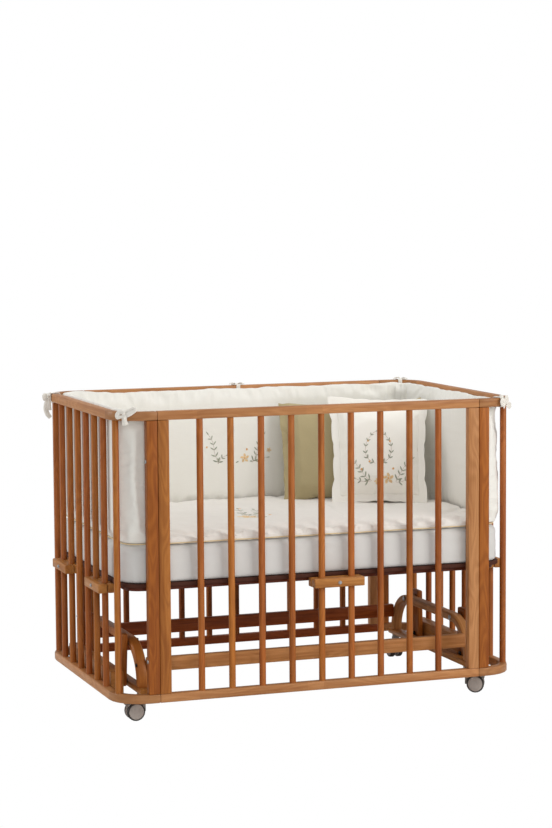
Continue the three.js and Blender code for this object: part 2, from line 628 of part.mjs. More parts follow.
const quilt = slab(quiltShape(), QUILT_THICKNESS, QUILT_EDGE, 1, 2);
place('quilt', quilt.translate(0, 0, MATTRESS_TOP + GAP), ivoryCloth);

// A stuffed cushion standing on its lower edge, turned about Z and leaning back from the foot.
const CUSHION_FLAT_EDGE = 8;
const CUSHION_FOOT_GAP = 2;

function cushion(name, surface, { width, height, thickness, foot, turn, lean }) {
  const edge = (thickness - CUSHION_FLAT_EDGE) / 2;
  const body = slab(roundedRectangle(width, height, edge + 10), thickness, edge, 3, 2)
    .translate(0, height / 2, -thickness / 2)
    .rotateX(Math.PI / 2);
  const leaning = THREE.MathUtils.degToRad(lean);
  const mesh = place(name, body, surface);
  mesh.position.set(...foot, QUILT_TOP + CUSHION_FOOT_GAP + edge * Math.sin(leaning));
  mesh.rotation.order = 'ZXY';
  mesh.rotation.z = THREE.MathUtils.degToRad(turn);
  mesh.rotation.x = -leaning;
}

cushion('sage_pillow', sageCloth, {
  width: 410, height: 300, thickness: 66, foot: [315, 178], turn: -20, lean: 12,
});
cushion('ivory_cushion', ivoryCloth, {
  width: 290, height: 310, thickness: 70, foot: [338, 62], turn: -24, lean: 17,
});

export default crib;
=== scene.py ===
"""The looks of the glider crib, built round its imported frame. Metres, in the frame's own axes."""
import math
import re

import bmesh
import bpy
import numpy as np
from mathutils import Matrix, Vector, noise
from mathutils.bvhtree import BVHTree


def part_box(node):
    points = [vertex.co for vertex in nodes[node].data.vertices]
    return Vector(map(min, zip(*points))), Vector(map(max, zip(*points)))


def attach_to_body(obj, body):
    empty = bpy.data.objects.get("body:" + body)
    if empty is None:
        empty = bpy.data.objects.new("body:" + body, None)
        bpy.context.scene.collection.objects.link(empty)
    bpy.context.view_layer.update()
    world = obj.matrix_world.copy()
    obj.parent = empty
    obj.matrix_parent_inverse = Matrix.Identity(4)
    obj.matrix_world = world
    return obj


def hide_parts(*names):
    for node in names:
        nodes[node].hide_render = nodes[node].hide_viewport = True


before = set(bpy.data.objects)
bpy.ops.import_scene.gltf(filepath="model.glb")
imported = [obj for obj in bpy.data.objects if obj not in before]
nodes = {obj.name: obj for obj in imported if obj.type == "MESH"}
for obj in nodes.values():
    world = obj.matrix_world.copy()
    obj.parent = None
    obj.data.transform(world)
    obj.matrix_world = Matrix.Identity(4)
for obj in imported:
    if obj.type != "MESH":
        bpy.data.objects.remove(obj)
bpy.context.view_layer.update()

MM = 0.001
SIDES = (-1, 1)

# ---- places read from the frame ----
rail_low, rail_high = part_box("front_top_rail")
_, end_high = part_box("right_top_rail")
mattress_low, mattress_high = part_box("mattress")
quilt_low, quilt_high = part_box("quilt")
bumper_low, bumper_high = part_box("bumper")
_, arch_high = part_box("arch_right")

RAIL = rail_high.z - rail_low.z
CORNER_RADIUS = 90 * MM
CORNER_X = end_high.x - CORNER_RADIUS
CORNER_Y = end_high.y - CORNER_RADIUS

# ---- camera and light ----
CAMERA_PLACE = (-2.2045, -6.1449, 1.3942)
CAMERA_TURN = (19.746, 5.280, -0.395)  # yaw, pitch down and roll, in degrees
CAMERA_LENS = 99.72
AMBIENT = 0.37
LIGHTS = (  # name, place, size, power and colour
    ("key", (2.6, -3.4, 2.5), (2.7, 2.4), 95, (1, 0.985, 0.96)),
    ("front_fill", (-1.6, -4.6, 2.2), (2.5, 1.6), 37, (1, 1, 1)),
    ("overhead", (0.0, 0.2, 3.4), (3.0, 2.0), 31, (1, 1, 1)),
    ("left_fill", (-3.4, 1.6, 1.7), (1.2, 1.8), 40, (1, 1, 1)))
LIT_SPOT = Vector((0, 0, 0.5))


def make_camera():
    """The viewing angle: from the front left, a little above the top rail."""
    yaw, pitch, roll = (math.radians(d) for d in CAMERA_TURN)
    forward = Vector((math.sin(yaw) * math.cos(pitch), math.cos(yaw) * math.cos(pitch), -math.sin(pitch)))
    right = Vector((math.cos(yaw), -math.sin(yaw), 0))
    up = right.cross(forward)
    across = math.cos(roll) * right + math.sin(roll) * up
    above = math.cos(roll) * up - math.sin(roll) * right
    data = bpy.data.cameras.new("camera")
    data.lens = CAMERA_LENS
    data.sensor_width = 36
    data.clip_end = 100
    camera = bpy.data.objects.new("camera", data)
    camera.matrix_world = Matrix((across, above, -forward)).transposed().to_4x4()
    camera.location = CAMERA_PLACE
    bpy.context.scene.collection.objects.link(camera)
    bpy.context.scene.camera = camera


def make_lights():
    for name, place, size, power, colour in LIGHTS:
        data = bpy.data.lights.new(name, "AREA")
        data.shape = "RECTANGLE"
        data.size, data.size_y = size
        data.energy = power
        data.color = colour
        light = bpy.data.objects.new(name, data)
        light.location = place
        light.rotation_euler = (LIT_SPOT - Vector(place)).to_track_quat("-Z", "Y").to_euler()
        bpy.context.scene.collection.objects.link(light)


def make_world():
    """White all round: dim as light on the object, brighter in reflections, and full behind the object."""
    world = bpy.data.worlds.new("studio")
    bpy.context.scene.world = world
    world.use_nodes = True
    tree = world.node_tree
    shown = tree.nodes["Background"].outputs[0]
    tree.nodes["Background"].inputs["Color"].default_value = (1, 1, 1, 1)
    tree.nodes["Background"].inputs["Strength"].default_value = AMBIENT
    seen = tree.nodes.new("ShaderNodeLightPath")
    for ray, strength in (("Is Glossy Ray", 0.5), ("Is Camera Ray", 1.0)):
        backdrop = tree.nodes.new("ShaderNodeBackground")
        backdrop.inputs["Color"].default_value = (1, 1, 1, 1)
        backdrop.inputs["Strength"].default_value = strength
        mix = tree.nodes.new("ShaderNodeMixShader")
        for socket, slot in ((seen.outputs[ray], 0), (shown, 1), (backdrop.outputs[0], 2)):
            tree.links.new(socket, mix.inputs[slot])
        shown = mix.outputs[0]
    tree.links.new(shown, tree.nodes["World Output"].inputs[0])


make_camera()
make_lights()
make_world()
bpy.context.scene.view_settings.view_transform = "Standard"


# ---- shader writing ----
def rgb(red, green, blue):
    """A colour from 0 to 255 as it looks on a screen, as the linear values that shaders take."""
    def linear(value):
        share = value / 255
        return share / 12.92 if share <= 0.04045 else ((share + 0.055) / 1.055) ** 2.4
    return (linear(red), linear(green), linear(blue), 1)


class Shader:
    """One material and the nodes that feed its shader."""

    def __init__(self, name, **values):
        self.material = bpy.data.materials.new(name)
        self.material.use_nodes = True
        self.tree = self.material.node_tree
        self.surface = self.tree.nodes["Principled BSDF"]
        for key, value in values.items():
            self.surface.inputs[key.replace("_", " ").title().replace("Ior", "IOR")].default_value = value
        self.place = self.node("TexCoord", {}, "Object")
        split = self.tree.nodes.new("ShaderNodeSeparateXYZ")
        self.tree.links.new(self.place, split.inputs[0])
        self.xyz = tuple(split.outputs)

    def node(self, kind, inputs, output=0, **settings):
        made = self.tree.nodes.new("ShaderNode" + kind)
        for key, value in settings.items():
            setattr(made, key, value)
        for key, value in inputs.items():
            if isinstance(value, bpy.types.NodeSocket):
                self.tree.links.new(value, made.inputs[key])
            else:
                made.inputs[key].default_value = value
        return made.outputs[output]

    def math(self, operation, *values):
        return self.node("Math", dict(enumerate(values)), operation=operation)

    def times(self, a, b, plus=None):
        return self.math("MULTIPLY", a, b) if plus is None else self.math("MULTIPLY_ADD", a, b, plus)

    def noise(self, vector, scale, detail=2.0, roughness=0.5, distortion=0.0):
        """Noise at a scale that is one number, or one for each axis."""
        if isinstance(scale, tuple):
            vector, scale = self.node("VectorMath", {0: vector, 1: scale}, operation="MULTIPLY"), 1.0
        inputs = {"Vector": vector, "Scale": scale, "Detail": detail,
                  "Roughness": roughness, "Distortion": distortion}
        return self.node("TexNoise", inputs, "Fac")

    def random(self, number):
        """A number from 0 to 1 for each whole number."""
        return self.node("TexWhiteNoise", {"W": number}, "Value", noise_dimensions="1D")

    def range(self, value, low, high, new_low=0.0, new_high=1.0):
        return self.node("MapRange", {0: value, 1: low, 2: high, 3: new_low, 4: new_high})

    def blend(self, share, first, second):
        return self.node("Mix", {0: share, 6: first, 7: second}, 2, data_type="RGBA")

    def bump(self, height, distance, strength=1.0, under=None):
        inputs = {"Height": height, "Distance": distance, "Strength": strength}
        if under is not None:
            inputs["Normal"] = under
        return self.node("Bump", inputs)

    def finish(self, **links):
        for key, value in links.items():
            self.tree.links.new(value, self.surface.inputs[key.replace("_", " ").title()])
        return self.material


# ---- wood ----
def straight(axis):
    """Grain coordinates of a straight board: along the grain, then the two directions across it."""
    order = {"x": (0, 1, 2), "y": (1, 0, 2), "z": (2, 0, 1)}[axis]
    return lambda s: tuple(s.xyz[i] for i in order)


def bent(first, second, corner_first, corner_second, radius):
    """Grain coordinates that follow a rounded corner in the plane of two axes, such as a bent rail."""
    def coordinates(s):
        parts = dict(zip("xyz", s.xyz))
        a, b = parts.pop(first), parts.pop(second)
        over_a = s.math("SUBTRACT", s.math("ABSOLUTE", a), corner_first)
        over_b = s.math("SUBTRACT", s.math("ABSOLUTE", b) if second != "z" else b, corner_second)
        out_a, out_b = s.math("MAXIMUM", over_a, 0.0), s.math("MAXIMUM", over_b, 0.0)
        turn = s.times(s.math("ARCTAN2", out_b, out_a), radius)
        run = s.math("SUBTRACT", s.math("MINIMUM", over_b, 0.0), s.math("MINIMUM", over_a, 0.0))
        side = s.times(s.math("SIGN", a), 3.7, s.times(s.math("SIGN", b), 7.1))
        across = s.math("SQRT", s.times(out_a, out_a, s.times(out_b, out_b)))
        return s.math("ADD", s.math("ADD", turn, run), side), across, list(parts.values())[0]
    return coordinates


# The light, middle and dark tone of each kind of piece.
RAIL_TONES = (rgb(202, 146, 96), rgb(182, 121, 71), rgb(138, 80, 38))
CLAMP_TONES = (rgb(194, 134, 72), rgb(172, 108, 46), rgb(126, 68, 18))
SPINDLE_TONES = (rgb(180, 108, 46), rgb(158, 83, 25), rgb(110, 47, 8))
END_POST_TONES = (rgb(176, 104, 40), rgb(156, 84, 24), rgb(110, 48, 7))
# Darker than the right posts' rail tones: painted shade, for the light that falls off towards the left end.
SHADED_LEFT_POST_TONES = (rgb(176, 114, 54), rgb(154, 90, 33), rgb(110, 54, 12))
# Paler, more orange tones: painted light on the front stand rail and the right arch.
PAINTED_LIGHT_TONES = (rgb(212, 152, 96), rgb(193, 129, 72), rgb(146, 86, 40))
ARCH_TONES = (rgb(190, 122, 60), rgb(170, 98, 38), rgb(122, 60, 15))
# Darker tones: painted shade, for the shadow under the bed on the rear stand rail and the back bottom rail.
PAINTED_SHADE_REAR_TONES = (rgb(176, 90, 36), rgb(152, 70, 22), rgb(108, 42, 9))
# Very dark tones: painted shade, for the base frame in the shadow under the board.
PAINTED_SHADE_UNDER_TONES = (rgb(104, 46, 22), rgb(86, 34, 15), rgb(58, 20, 9))

GLUED_LENGTH = 310 * MM
SPINDLE_PITCH = 86.5 * MM
ROW_WIDTH = 88 * MM
ARCH_RADIUS = 115 * MM
ARCH_DEPTH = 22 * MM
EDGE = 0.4 * MM


def beech(name, coordinates, tones, block=0.0, corner_tone=1.0, cell=0.0, figure=0.25, foot_tone=1.0):
    """Satin-lacquered beech: fine streaks, growth bands, ray flecks, and a tone of its own to each piece.

    block is the length of the glued lengths of a rail, and cell the spacing of the spindles. corner_tone and
    foot_tone say how light an end's corners and a post's foot are beside the rest."""
    s = Shader(name, specular_ior_level=0.2, coat_weight=0.06, coat_roughness=0.16)
    along, across, depth = coordinates(s)
    x, y, z = s.xyz
    grain = s.node("CombineXYZ", {0: along, 1: across, 2: depth})
    light, middle, dark = tones
    wander = s.noise(grain, (3, 16, 16), detail=2)
    bands = s.times(wander, 9.0, s.times(s.math("ADD", across, depth), 70.0))
    growth = s.times(s.math("SINE", bands), 0.5, 0.5)
    contour = s.noise(grain, (4.5, 24, 24), detail=1, distortion=0.3)
    rings = s.times(s.math("SINE", s.times(contour, 55.0)), 0.5, 0.5)
    streaks = s.noise(grain, (5, 190, 190), detail=4, roughness=0.6)
    fine = s.noise(grain, (28, 1100, 1100), detail=2, roughness=0.7)
    flecks = s.range(s.noise(grain, (260, 1700, 1700), detail=1), 0.60, 0.72)
    pieces = s.noise(grain, (1.1, 19, 19), detail=1)
    colour = s.blend(s.times(growth, 0.25, s.range(streaks, 0.3, 0.72, 0.0, 0.62)), light, middle)
    for share in (s.times(rings, figure), s.range(s.times(growth, streaks), 0.30, 0.62, 0, 0.35),
                  s.range(fine, 0.45, 0.8, 0, 0.26), s.times(flecks, 0.30)):
        colour = s.blend(share, colour, dark)
    value = s.range(pieces, 0.25, 0.75, 0.86, 1.12)
    hue = 0.5
    if block:
        step = s.random(s.math("FLOOR", s.math("DIVIDE", along, block)))
        value = s.times(value, s.range(step, 0, 1, 0.9, 1.1))
    if cell:
        column = s.math("FLOOR", s.times(x, 1 / cell, 0.5))
        row = s.math("FLOOR", s.math("DIVIDE", y, ROW_WIDTH))
        step = s.random(s.times(row, 17.0, column))
        value = s.times(value, s.range(step, 0, 1, 0.93, 1.09))
        hue = s.range(step, 0, 1, 0.494, 0.506)
    if foot_tone != 1.0:
        value = s.times(value, s.range(z, 0.1, 0.8, foot_tone, 1.0))
    if corner_tone != 1.0:
        corner = s.range(s.math("ABSOLUTE", y), CORNER_Y - EDGE, CORNER_Y + EDGE, 1.0, corner_tone)
        value = s.times(value, corner)
    colour = s.node("HueSaturation", {"Color": colour, "Value": value, "Hue": hue})
    relief = s.times(fine, -0.6, s.times(flecks, -0.5))
    return s.finish(base_color=colour, roughness=s.range(streaks, 0.3, 0.7, 0.34, 0.48),
                    normal=s.bump(relief, 0.12 * MM, 0.5))


ring = bent("x", "y", CORNER_X, CORNER_Y, CORNER_RADIUS - RAIL / 2)
arch_bend = bent("y", "z", arch_high.y - ARCH_RADIUS, arch_high.z - ARCH_RADIUS, ARCH_RADIUS - ARCH_DEPTH / 2)

along_x, along_y, along_z = straight("x"), straight("y"), straight("z")
WOODS = (  # each wood's name, grain and tones, what else it takes, and the nodes made of it
    ("panel_rail", ring, RAIL_TONES, {"block": GLUED_LENGTH}, "(front|back)_top_rail|front_bottom_rail.*"),
    ("end_rail", ring, RAIL_TONES, {"block": GLUED_LENGTH, "corner_tone": 0.80},
     "(left|right)_(top|bottom)_rail.*"),
    # The left posts' darker tones are painted shade; they get lighter towards the foot.
    ("shaded_left_post", along_z, SHADED_LEFT_POST_TONES, {"figure": 0.3, "foot_tone": 1.18}, "(front|back)_post_left"),
    ("right_post", along_z, RAIL_TONES, {"figure": 0.3}, "(front|back)_post_right"),
    ("end_post", along_z, END_POST_TONES, {"figure": 0.35}, ".*_end_post_.*|swing_arm_.*"),
    ("lengthwise", along_x, CLAMP_TONES, {}, "clamp_(front|back)"),
    ("crosswise", along_y, CLAMP_TONES, {}, "clamp_(left|right)_.*|foot_bar_.*|cross_board_.*"),
    # Painted light on the front stand rail.
    ("front_stand_rail_painted_light", along_x, PAINTED_LIGHT_TONES, {}, "stand_rail_front"),
    # Painted shade on the rear stand rail.
    ("rear_stand_rail_painted_shade", along_x, PAINTED_SHADE_REAR_TONES, {}, "stand_rail_rear"),
    # Painted shade on the back bottom rail, which lies in the shadow under the bed.
    ("back_bottom_rail", ring, PAINTED_SHADE_REAR_TONES, {"block": GLUED_LENGTH}, "back_bottom_rail.*"),
    # Painted shade on the base frame.
    ("under_board_painted_shade", along_x, PAINTED_SHADE_UNDER_TONES, {}, "base_frame"),
    ("arch", arch_bend, ARCH_TONES, {}, "arch_left"),
    # Painted light on the right arch.
    ("right_arch_painted_light", arch_bend, PAINTED_LIGHT_TONES, {}, "arch_right"))


def dark_board():
    s = Shader("dark_fibreboard", specular_ior_level=0.3)
    chips = s.noise(s.place, (160, 160, 700), detail=3, roughness=0.7)
    colour = s.blend(s.range(chips, 0.35, 0.7), rgb(58, 24, 12), rgb(84, 42, 24))
    return s.finish(base_color=colour, roughness=s.range(chips, 0.3, 0.7, 0.6, 0.85),
                    normal=s.bump(chips, 0.3 * MM, 0.6))


# ---- metal and plastic ----
def metal(name, colour, worn, roughness):
    s = Shader(name, metallic=1.0)
    cloud = s.noise(s.place, 420, detail=3)
    scratches = s.noise(s.place, (300, 2600, 2600), detail=2)
    base = s.blend(s.range(s.times(cloud, scratches), 0.24, 0.42), colour, worn)
    rough = s.range(cloud, 0.3, 0.7, roughness - 0.08, roughness + 0.1)
    return s.finish(base_color=base, roughness=rough, normal=s.bump(scratches, 0.04 * MM, 0.5))


def plastic(name, colour, shade, roughness):
    s = Shader(name, specular_ior_level=0.5)
    moulded = s.noise(s.place, 900, detail=2)
    scuffs = s.noise(s.place, (120, 120, 60), detail=4, roughness=0.65)
    base = s.blend(s.range(scuffs, 0.45, 0.75, 0, 0.7), colour, shade)
    rough = s.range(scuffs, 0.3, 0.7, roughness - 0.06, roughness + 0.12)
    return s.finish(base_color=base, roughness=rough, normal=s.bump(moulded, 0.06 * MM, 0.6))


zinc = metal("zinc_plated_steel", rgb(178, 180, 182), rgb(120, 122, 124), 0.34)
black_oxide = metal("black_oxide_steel", rgb(38, 37, 36), rgb(92, 90, 86), 0.46)
caster_grey = plastic("caster_grey_plastic", rgb(150, 142, 134), rgb(120, 112, 104), 0.5)
wheel_face = plastic("wheel_face_plastic", rgb(190, 180, 172), rgb(160, 150, 142), 0.42)
wheel_tyre = plastic("wheel_tyre_rubber", rgb(62, 57, 53), rgb(84, 79, 74), 0.62)


# ---- fabric ----
def cotton(name, colour, shade, thread=0.9 * MM, slub=0.5):
    """Woven cotton: two sets of threads, thicker slubs here and there, soft creases and a slight nap."""
    s = Shader(name, roughness=0.92, specular_ior_level=0.2, sheen_weight=0.25, sheen_roughness=0.5)
    x, y, z = s.xyz
    turn = 2 * math.pi / thread
    warp = s.math("SINE", s.times(s.math("ADD", x, y), turn))
    weft = s.math("SINE", s.times(z, turn))
    flat = s.math("SINE", s.times(s.math("SUBTRACT", x, y), turn))
    weave = s.math("ADD", s.times(warp, weft), s.times(warp, flat))
    slubs = s.noise(s.place, (90, 90, 900), detail=3, roughness=0.6)
    thick = s.noise(s.place, (900, 900, 90), detail=3, roughness=0.6)
    cloud = s.noise(s.place, 7, detail=3)
    creases = s.noise(s.place, 46, detail=4, roughness=0.55, distortion=0.4)
    uneven = s.math("ADD", slubs, thick)
    tint = s.times(uneven, slub, s.times(cloud, 0.6))
    base = s.blend(s.range(tint, 0.5, 1.15, 0, 0.75), colour, shade)
    fine = s.bump(s.times(weave, 0.25, uneven), 0.12 * MM, 0.55)
    return s.finish(base_color=base, normal=s.bump(creases, 1.6 * MM, 0.22, under=fine))


bumper_cotton = cotton("bumper_cotton", rgb(241, 240, 234), rgb(233, 230, 221))
quilt_cotton = cotton("quilt_cotton", rgb(237, 233, 227), rgb(226, 221, 213), thread=0.8 * MM)
cushion_cotton = cotton("cushion_cotton", rgb(250, 248, 241), rgb(243, 239, 230), thread=0.8 * MM)
sheet_cotton = cotton("sheet_cotton", rgb(217, 216, 213), rgb(205, 203, 200), thread=0.6 * MM, slub=0.3)
sage_cotton = cotton("sage_cotton", rgb(185, 171, 133), rgb(169, 155, 117))
tie_cotton = cotton("tie_cotton", rgb(238, 234, 226), rgb(220, 214, 203), thread=0.7 * MM)
piping_cotton = cotton("piping_cotton", rgb(226, 206, 166), rgb(210, 186, 142), thread=0.6 * MM)


def stitched(name, colour, shade):
    """Embroidery thread: shiny satin stitches that lie side by side."""
    s = Shader(name, roughness=0.5, sheen_weight=0.4, anisotropic=0.5)
    threads = s.noise(s.place, (1500, 1500, 1500), detail=1)
    base = s.blend(s.range(threads, 0.35, 0.65), colour, shade)
    return s.finish(base_color=base, normal=s.bump(threads, 0.2 * MM, 0.7))


leaf_thread = stitched("leaf_thread", rgb(172, 178, 154), rgb(144, 150, 126))
flower_thread = stitched("flower_thread", rgb(248, 220, 168), rgb(240, 202, 144))
berry_thread = stitched("berry_thread", rgb(246, 194, 106), rgb(232, 172, 86))
sage_seam_thread = stitched("sage_seam_thread", rgb(112, 102, 76), rgb(94, 86, 62))
stem_thread = stitched("stem_thread", rgb(166, 132, 112), rgb(140, 104, 84))


# ---- the floor ----
def make_floor():
    """A pale studio floor that lights the object from below and blends into the backdrop behind it."""
    bpy.ops.mesh.primitive_circle_add(vertices=96, radius=30, fill_type="NGON")
    floor = bpy.context.object
    floor.name = "floor"
    s = Shader("pale_floor", roughness=0.6)
    s.finish(base_color=s.blend(s.noise(s.place, 3, detail=4), rgb(243, 242, 240), rgb(238, 237, 235)))
    glow = s.node("Emission", {"Color": (1, 1, 1, 1), "Strength": 1.0})
    seen = s.node("LightPath", {}, "Is Camera Ray")
    mixed = s.node("MixShader", {0: seen, 1: s.surface.outputs[0], 2: glow})
    s.tree.links.new(mixed, s.tree.nodes["Material Output"].inputs[0])
    floor.data.materials.append(s.material)


make_floor()


# ---- finishing the frame's own nodes ----
def hard_corners(piece, angle):
    piece.modifiers.new("hard_corners", "EDGE_SPLIT").split_angle = math.radians(angle)


def finish_node(name, slot, *materials, pick=None, edge=0.8 * MM):
    """Gives a frame node its materials and softens its sharp edges with modifiers only."""
    node = nodes[name]
    node.data.materials.clear()
    for material in materials:
        node.data.materials.append(material)
    for polygon in node.data.polygons:
        polygon.use_smooth = True
        if pick:
            polygon.material_index = pick(polygon)
    node.modifiers.new("weld", "WELD").merge_threshold = 0.02 * MM
    flat = node.modifiers.new("flat_faces", "DECIMATE")
    flat.decimate_type = "DISSOLVE"
    flat.angle_limit = math.radians(0.5)
    flat.delimit = {"MATERIAL"}
    bevel = node.modifiers.new("soft_edges", "BEVEL")
    bevel.width = edge
    bevel.segments = 2
    bevel.limit_method = "ANGLE"
    bevel.angle_limit = math.radians(38)
    bevel.harden_normals = False
    hard_corners(node, 50)


def finish_wood():
    spindle_wood = beech("beech_spindle", along_z, SPINDLE_TONES, cell=SPINDLE_PITCH)
    rail_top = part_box("front_bottom_rail_and_spindles")[0].z + RAIL

    def above_rail(polygon):
        return 1 if polygon.center.z > rail_top + 0.5 * MM else 0

    for name, grain, tones, more, pattern in WOODS:
        wood = beech(f"beech_{name}", grain, tones, **more)
        for node in (n for n in nodes if re.fullmatch(pattern, n)):
            if node.endswith("spindles"):
                finish_node(node, "beech", wood, spindle_wood, pick=above_rail)
            else:
                finish_node(node, "beech", wood, edge=(1.4 if node.startswith("arch") else 0.8) * MM)
    finish_node("base_board", "base_board", dark_board())


def finish_pivots():
    for node in nodes:
        if node.startswith("upper_pivot_bolt"):
            finish_node(node, "steel", zinc, edge=0.6 * MM)
        elif node.startswith("lower_pivot_bolt"):
            finish_node(node, "black_steel", black_oxide, edge=0.6 * MM)


# How far each caster is turned at rest, in degrees, as in the part's source.
CASTER_TURNS = {("front", "left"): 180, ("rear", "left"): 90, ("front", "right"): -28, ("rear", "right"): 90}


def wheels_of(side, end):
    """The middle and the axle direction of a caster's wheels."""
    low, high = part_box(f"caster_wheels_{side}_{end}")
    turn = math.radians(CASTER_TURNS[side, end])
    return (low + high) / 2, Vector((-math.sin(turn), math.cos(turn), 0)), (high.z - low.z) / 2


def finish_casters():
    for side, end in CASTER_TURNS:
        centre, axle, radius = wheels_of(side, end)

        def tread(polygon, centre=centre, axle=axle, face_radius=radius - 4 * MM):
            return 1 if (polygon.center - centre).cross(axle).length > face_radius else 0

        finish_node(f"caster_wheels_{side}_{end}", "wheel_plastic", wheel_face, wheel_tyre, pick=tread)
        finish_node(f"caster_housing_{side}_{end}", "caster_plastic", caster_grey)


finish_wood()
finish_pivots()
finish_casters()


# ---- mesh helpers ----
def new_piece(name, points, faces, material):
    """A smooth-shaded mesh object from points and faces."""
    mesh = bpy.data.meshes.new(name)
    mesh.from_pydata([tuple(p) for p in points], [], faces)
    mesh.materials.append(material)
    mesh.polygons.foreach_set("use_smooth", [True] * len(mesh.polygons))
    mesh.update()
    piece = bpy.data.objects.new(name, mesh)
    bpy.context.scene.collection.objects.link(piece)
    return piece


def attach(piece, body):
    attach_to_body(piece, body)


def stand_for(piece, node, body):
    """A padded piece that takes the place of a plain frame node."""
    attach(piece, body)
    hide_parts(node)


def grid_faces(rows, columns, base=0, round_rows=False, round_columns=True):
    """The faces between rows of points. A round direction joins its last points to its first."""
    faces = []
    for r in range(rows if round_rows else rows - 1):
        a, b = base + r * columns, base + (r + 1) % rows * columns
        for c in range(columns if round_columns else columns - 1):
            n = (c + 1) % columns
            faces.append((a + c, a + n, b + n, b + c))
    return faces


def tube_faces(rows, columns, base=0):
    """A closed tube: rings of points, and a flat face at each end."""
    first = tuple(base + k for k in reversed(range(columns)))
    last = tuple(base + (rows - 1) * columns + k for k in range(columns))
    return grid_faces(rows, columns, base) + [first, last]


def refine(piece):
    smooth = piece.modifiers.new("smooth", "SUBSURF")
    smooth.levels = smooth.render_levels = 1


def read(items, name, width):
    values = np.zeros(len(items) * width)
    items.foreach_get(name, values)
    return values.reshape(-1, width)


def coordinates_of(piece):
    return read(piece.data.vertices, "co", 3)


def normals_of(piece):
    return read(piece.data.vertex_normals, "vector", 3)


def move_to(piece, points):
    piece.data.vertices.foreach_set("co", np.asarray(points, float).ravel())
    piece.data.update()


def as_shown(piece):
    return piece.evaluated_get(bpy.context.evaluated_depsgraph_get())


def apply_modifiers(piece):
    mesh = bpy.data.meshes.new_from_object(as_shown(piece))
    piece.modifiers.clear()
    piece.data = mesh


def outward(piece):
    """Turns every face of a closed mesh outwards."""
    mesh = bmesh.new()
    mesh.from_mesh(piece.data)
    bmesh.ops.recalc_face_normals(mesh, faces=mesh.faces)
    mesh.to_mesh(piece.data)
    mesh.free()


def rough(x, y=0.0, z=0.0):
    """Smooth noise from about -1 to 1 at one place."""
    return noise.noise(Vector((x, y, z)))


def field(points, scale, seed=0.0):
    """Smooth noise at every point; scale is one number or one for each axis."""
    return np.array([noise.noise(Vector(p)) for p in np.asarray(points) * np.asarray(scale) + seed])


def puff(piece, pressure, frames, cap, growth=0.0, pinned=None, bending=0.25, stiffness=15):
    """Fills a closed fabric mesh with pressure, and keeps each point within cap of where it was."""
    start = coordinates_of(piece)
    cloth = piece.modifiers.new("cloth", "CLOTH")
    settings = cloth.settings
    settings.quality = 6
    settings.mass = 0.3
    settings.tension_stiffness = settings.compression_stiffness = stiffness
    settings.shear_stiffness = stiffness / 3
    settings.bending_stiffness = bending
    settings.use_pressure = True
    settings.uniform_pressure_force = pressure
    settings.shrink_min = -growth
    settings.effector_weights.gravity = 0
    cloth.collision_settings.use_collision = False
    if pinned is not None:
        group = piece.vertex_groups.new(name="seam")
        group.add([int(i) for i in np.flatnonzero(pinned)], 1.0, "REPLACE")
        settings.vertex_group_mass = "seam"
    cloth.point_cache.frame_start = 1
    cloth.point_cache.frame_end = frames
    for step in range(1, frames + 1):
        bpy.context.scene.frame_set(step)
    end = np.array([v.co for v in as_shown(piece).data.vertices])
    piece.modifiers.remove(cloth)
    piece.vertex_groups.clear()
    bpy.context.scene.frame_set(1)
    shift = end - start
    length = np.linalg.norm(shift, axis=1, keepdims=True)
    move_to(piece, start + shift * np.minimum(1, cap / np.maximum(length, 1e-9)))


def inside_cage(points, clearance):
    """Pushes points back inside the rails' inner face, a rounded rectangle."""
    points = np.array(points)
    away = np.abs(points[:, :2]) - np.array([CORNER_X, CORNER_Y])
    out = np.maximum(away, 0)
    length = np.linalg.norm(out, axis=1)
    reach = length + np.minimum(away.max(axis=1), 0) - (CORNER_RADIUS - RAIL)
    excess = np.maximum(reach + clearance, 0) / np.maximum(length, 1e-9)
    points[:, :2] -= np.sign(points[:, :2]) * out * excess[:, None]
    return points


class Ring:
    """A rounded rectangle seen from above. at(distance) gives the point and the outward direction there,
    with the distance measured from the middle of the front, first towards the left end."""

    def __init__(self, half_x, half_y, radius):
        a, b, quarter = half_x - radius, half_y - radius, math.pi / 2 * radius
        self.radius = radius
        self.steps = [
            ("line", a, (0, -half_y), (-1, 0), (0, -1)),
            ("arc", quarter, (-a, -b), -90),
            ("line", 2 * b, (-half_x, -b), (0, 1), (-1, 0)),
            ("arc", quarter, (-a, b), 180),
            ("line", 2 * a, (-a, half_y), (1, 0), (0, 1)),
            ("arc", quarter, (a, b), 90),
            ("line", 2 * b, (half_x, b), (0, -1), (1, 0)),
            ("arc", quarter, (a, -b), 0),
            ("line", a, (a, -half_y), (-1, 0), (0, -1))]
        self.length = sum(step[1] for step in self.steps)
        self.corners = [sum(step[1] for step in self.steps[:k]) + quarter / 2 for k in (1, 3, 5, 7)]

    def at(self, distance):
        distance %= self.length
        for step in self.steps:
            if distance <= step[1]:
                break
            distance -= step[1]
        if step[0] == "line":
            (x, y), (dx, dy) = step[2], step[3]
            return Vector((x + dx * distance, y + dy * distance, 0)), Vector((*step[4], 0))
        angle = math.radians(step[3]) - distance / self.radius
        normal = Vector((math.cos(angle), math.sin(angle), 0))
        return Vector((*step[2], 0)) + normal * self.radius, normal

    def near_corner(self, distance, reach):
        """1 at the middle of a corner, falling to 0 at that reach from it."""
        distance %= self.length
        gaps = [min(abs(distance - c), self.length - abs(distance - c)) for c in self.corners]
        return max(0.0, 1 - min(gaps) / reach)


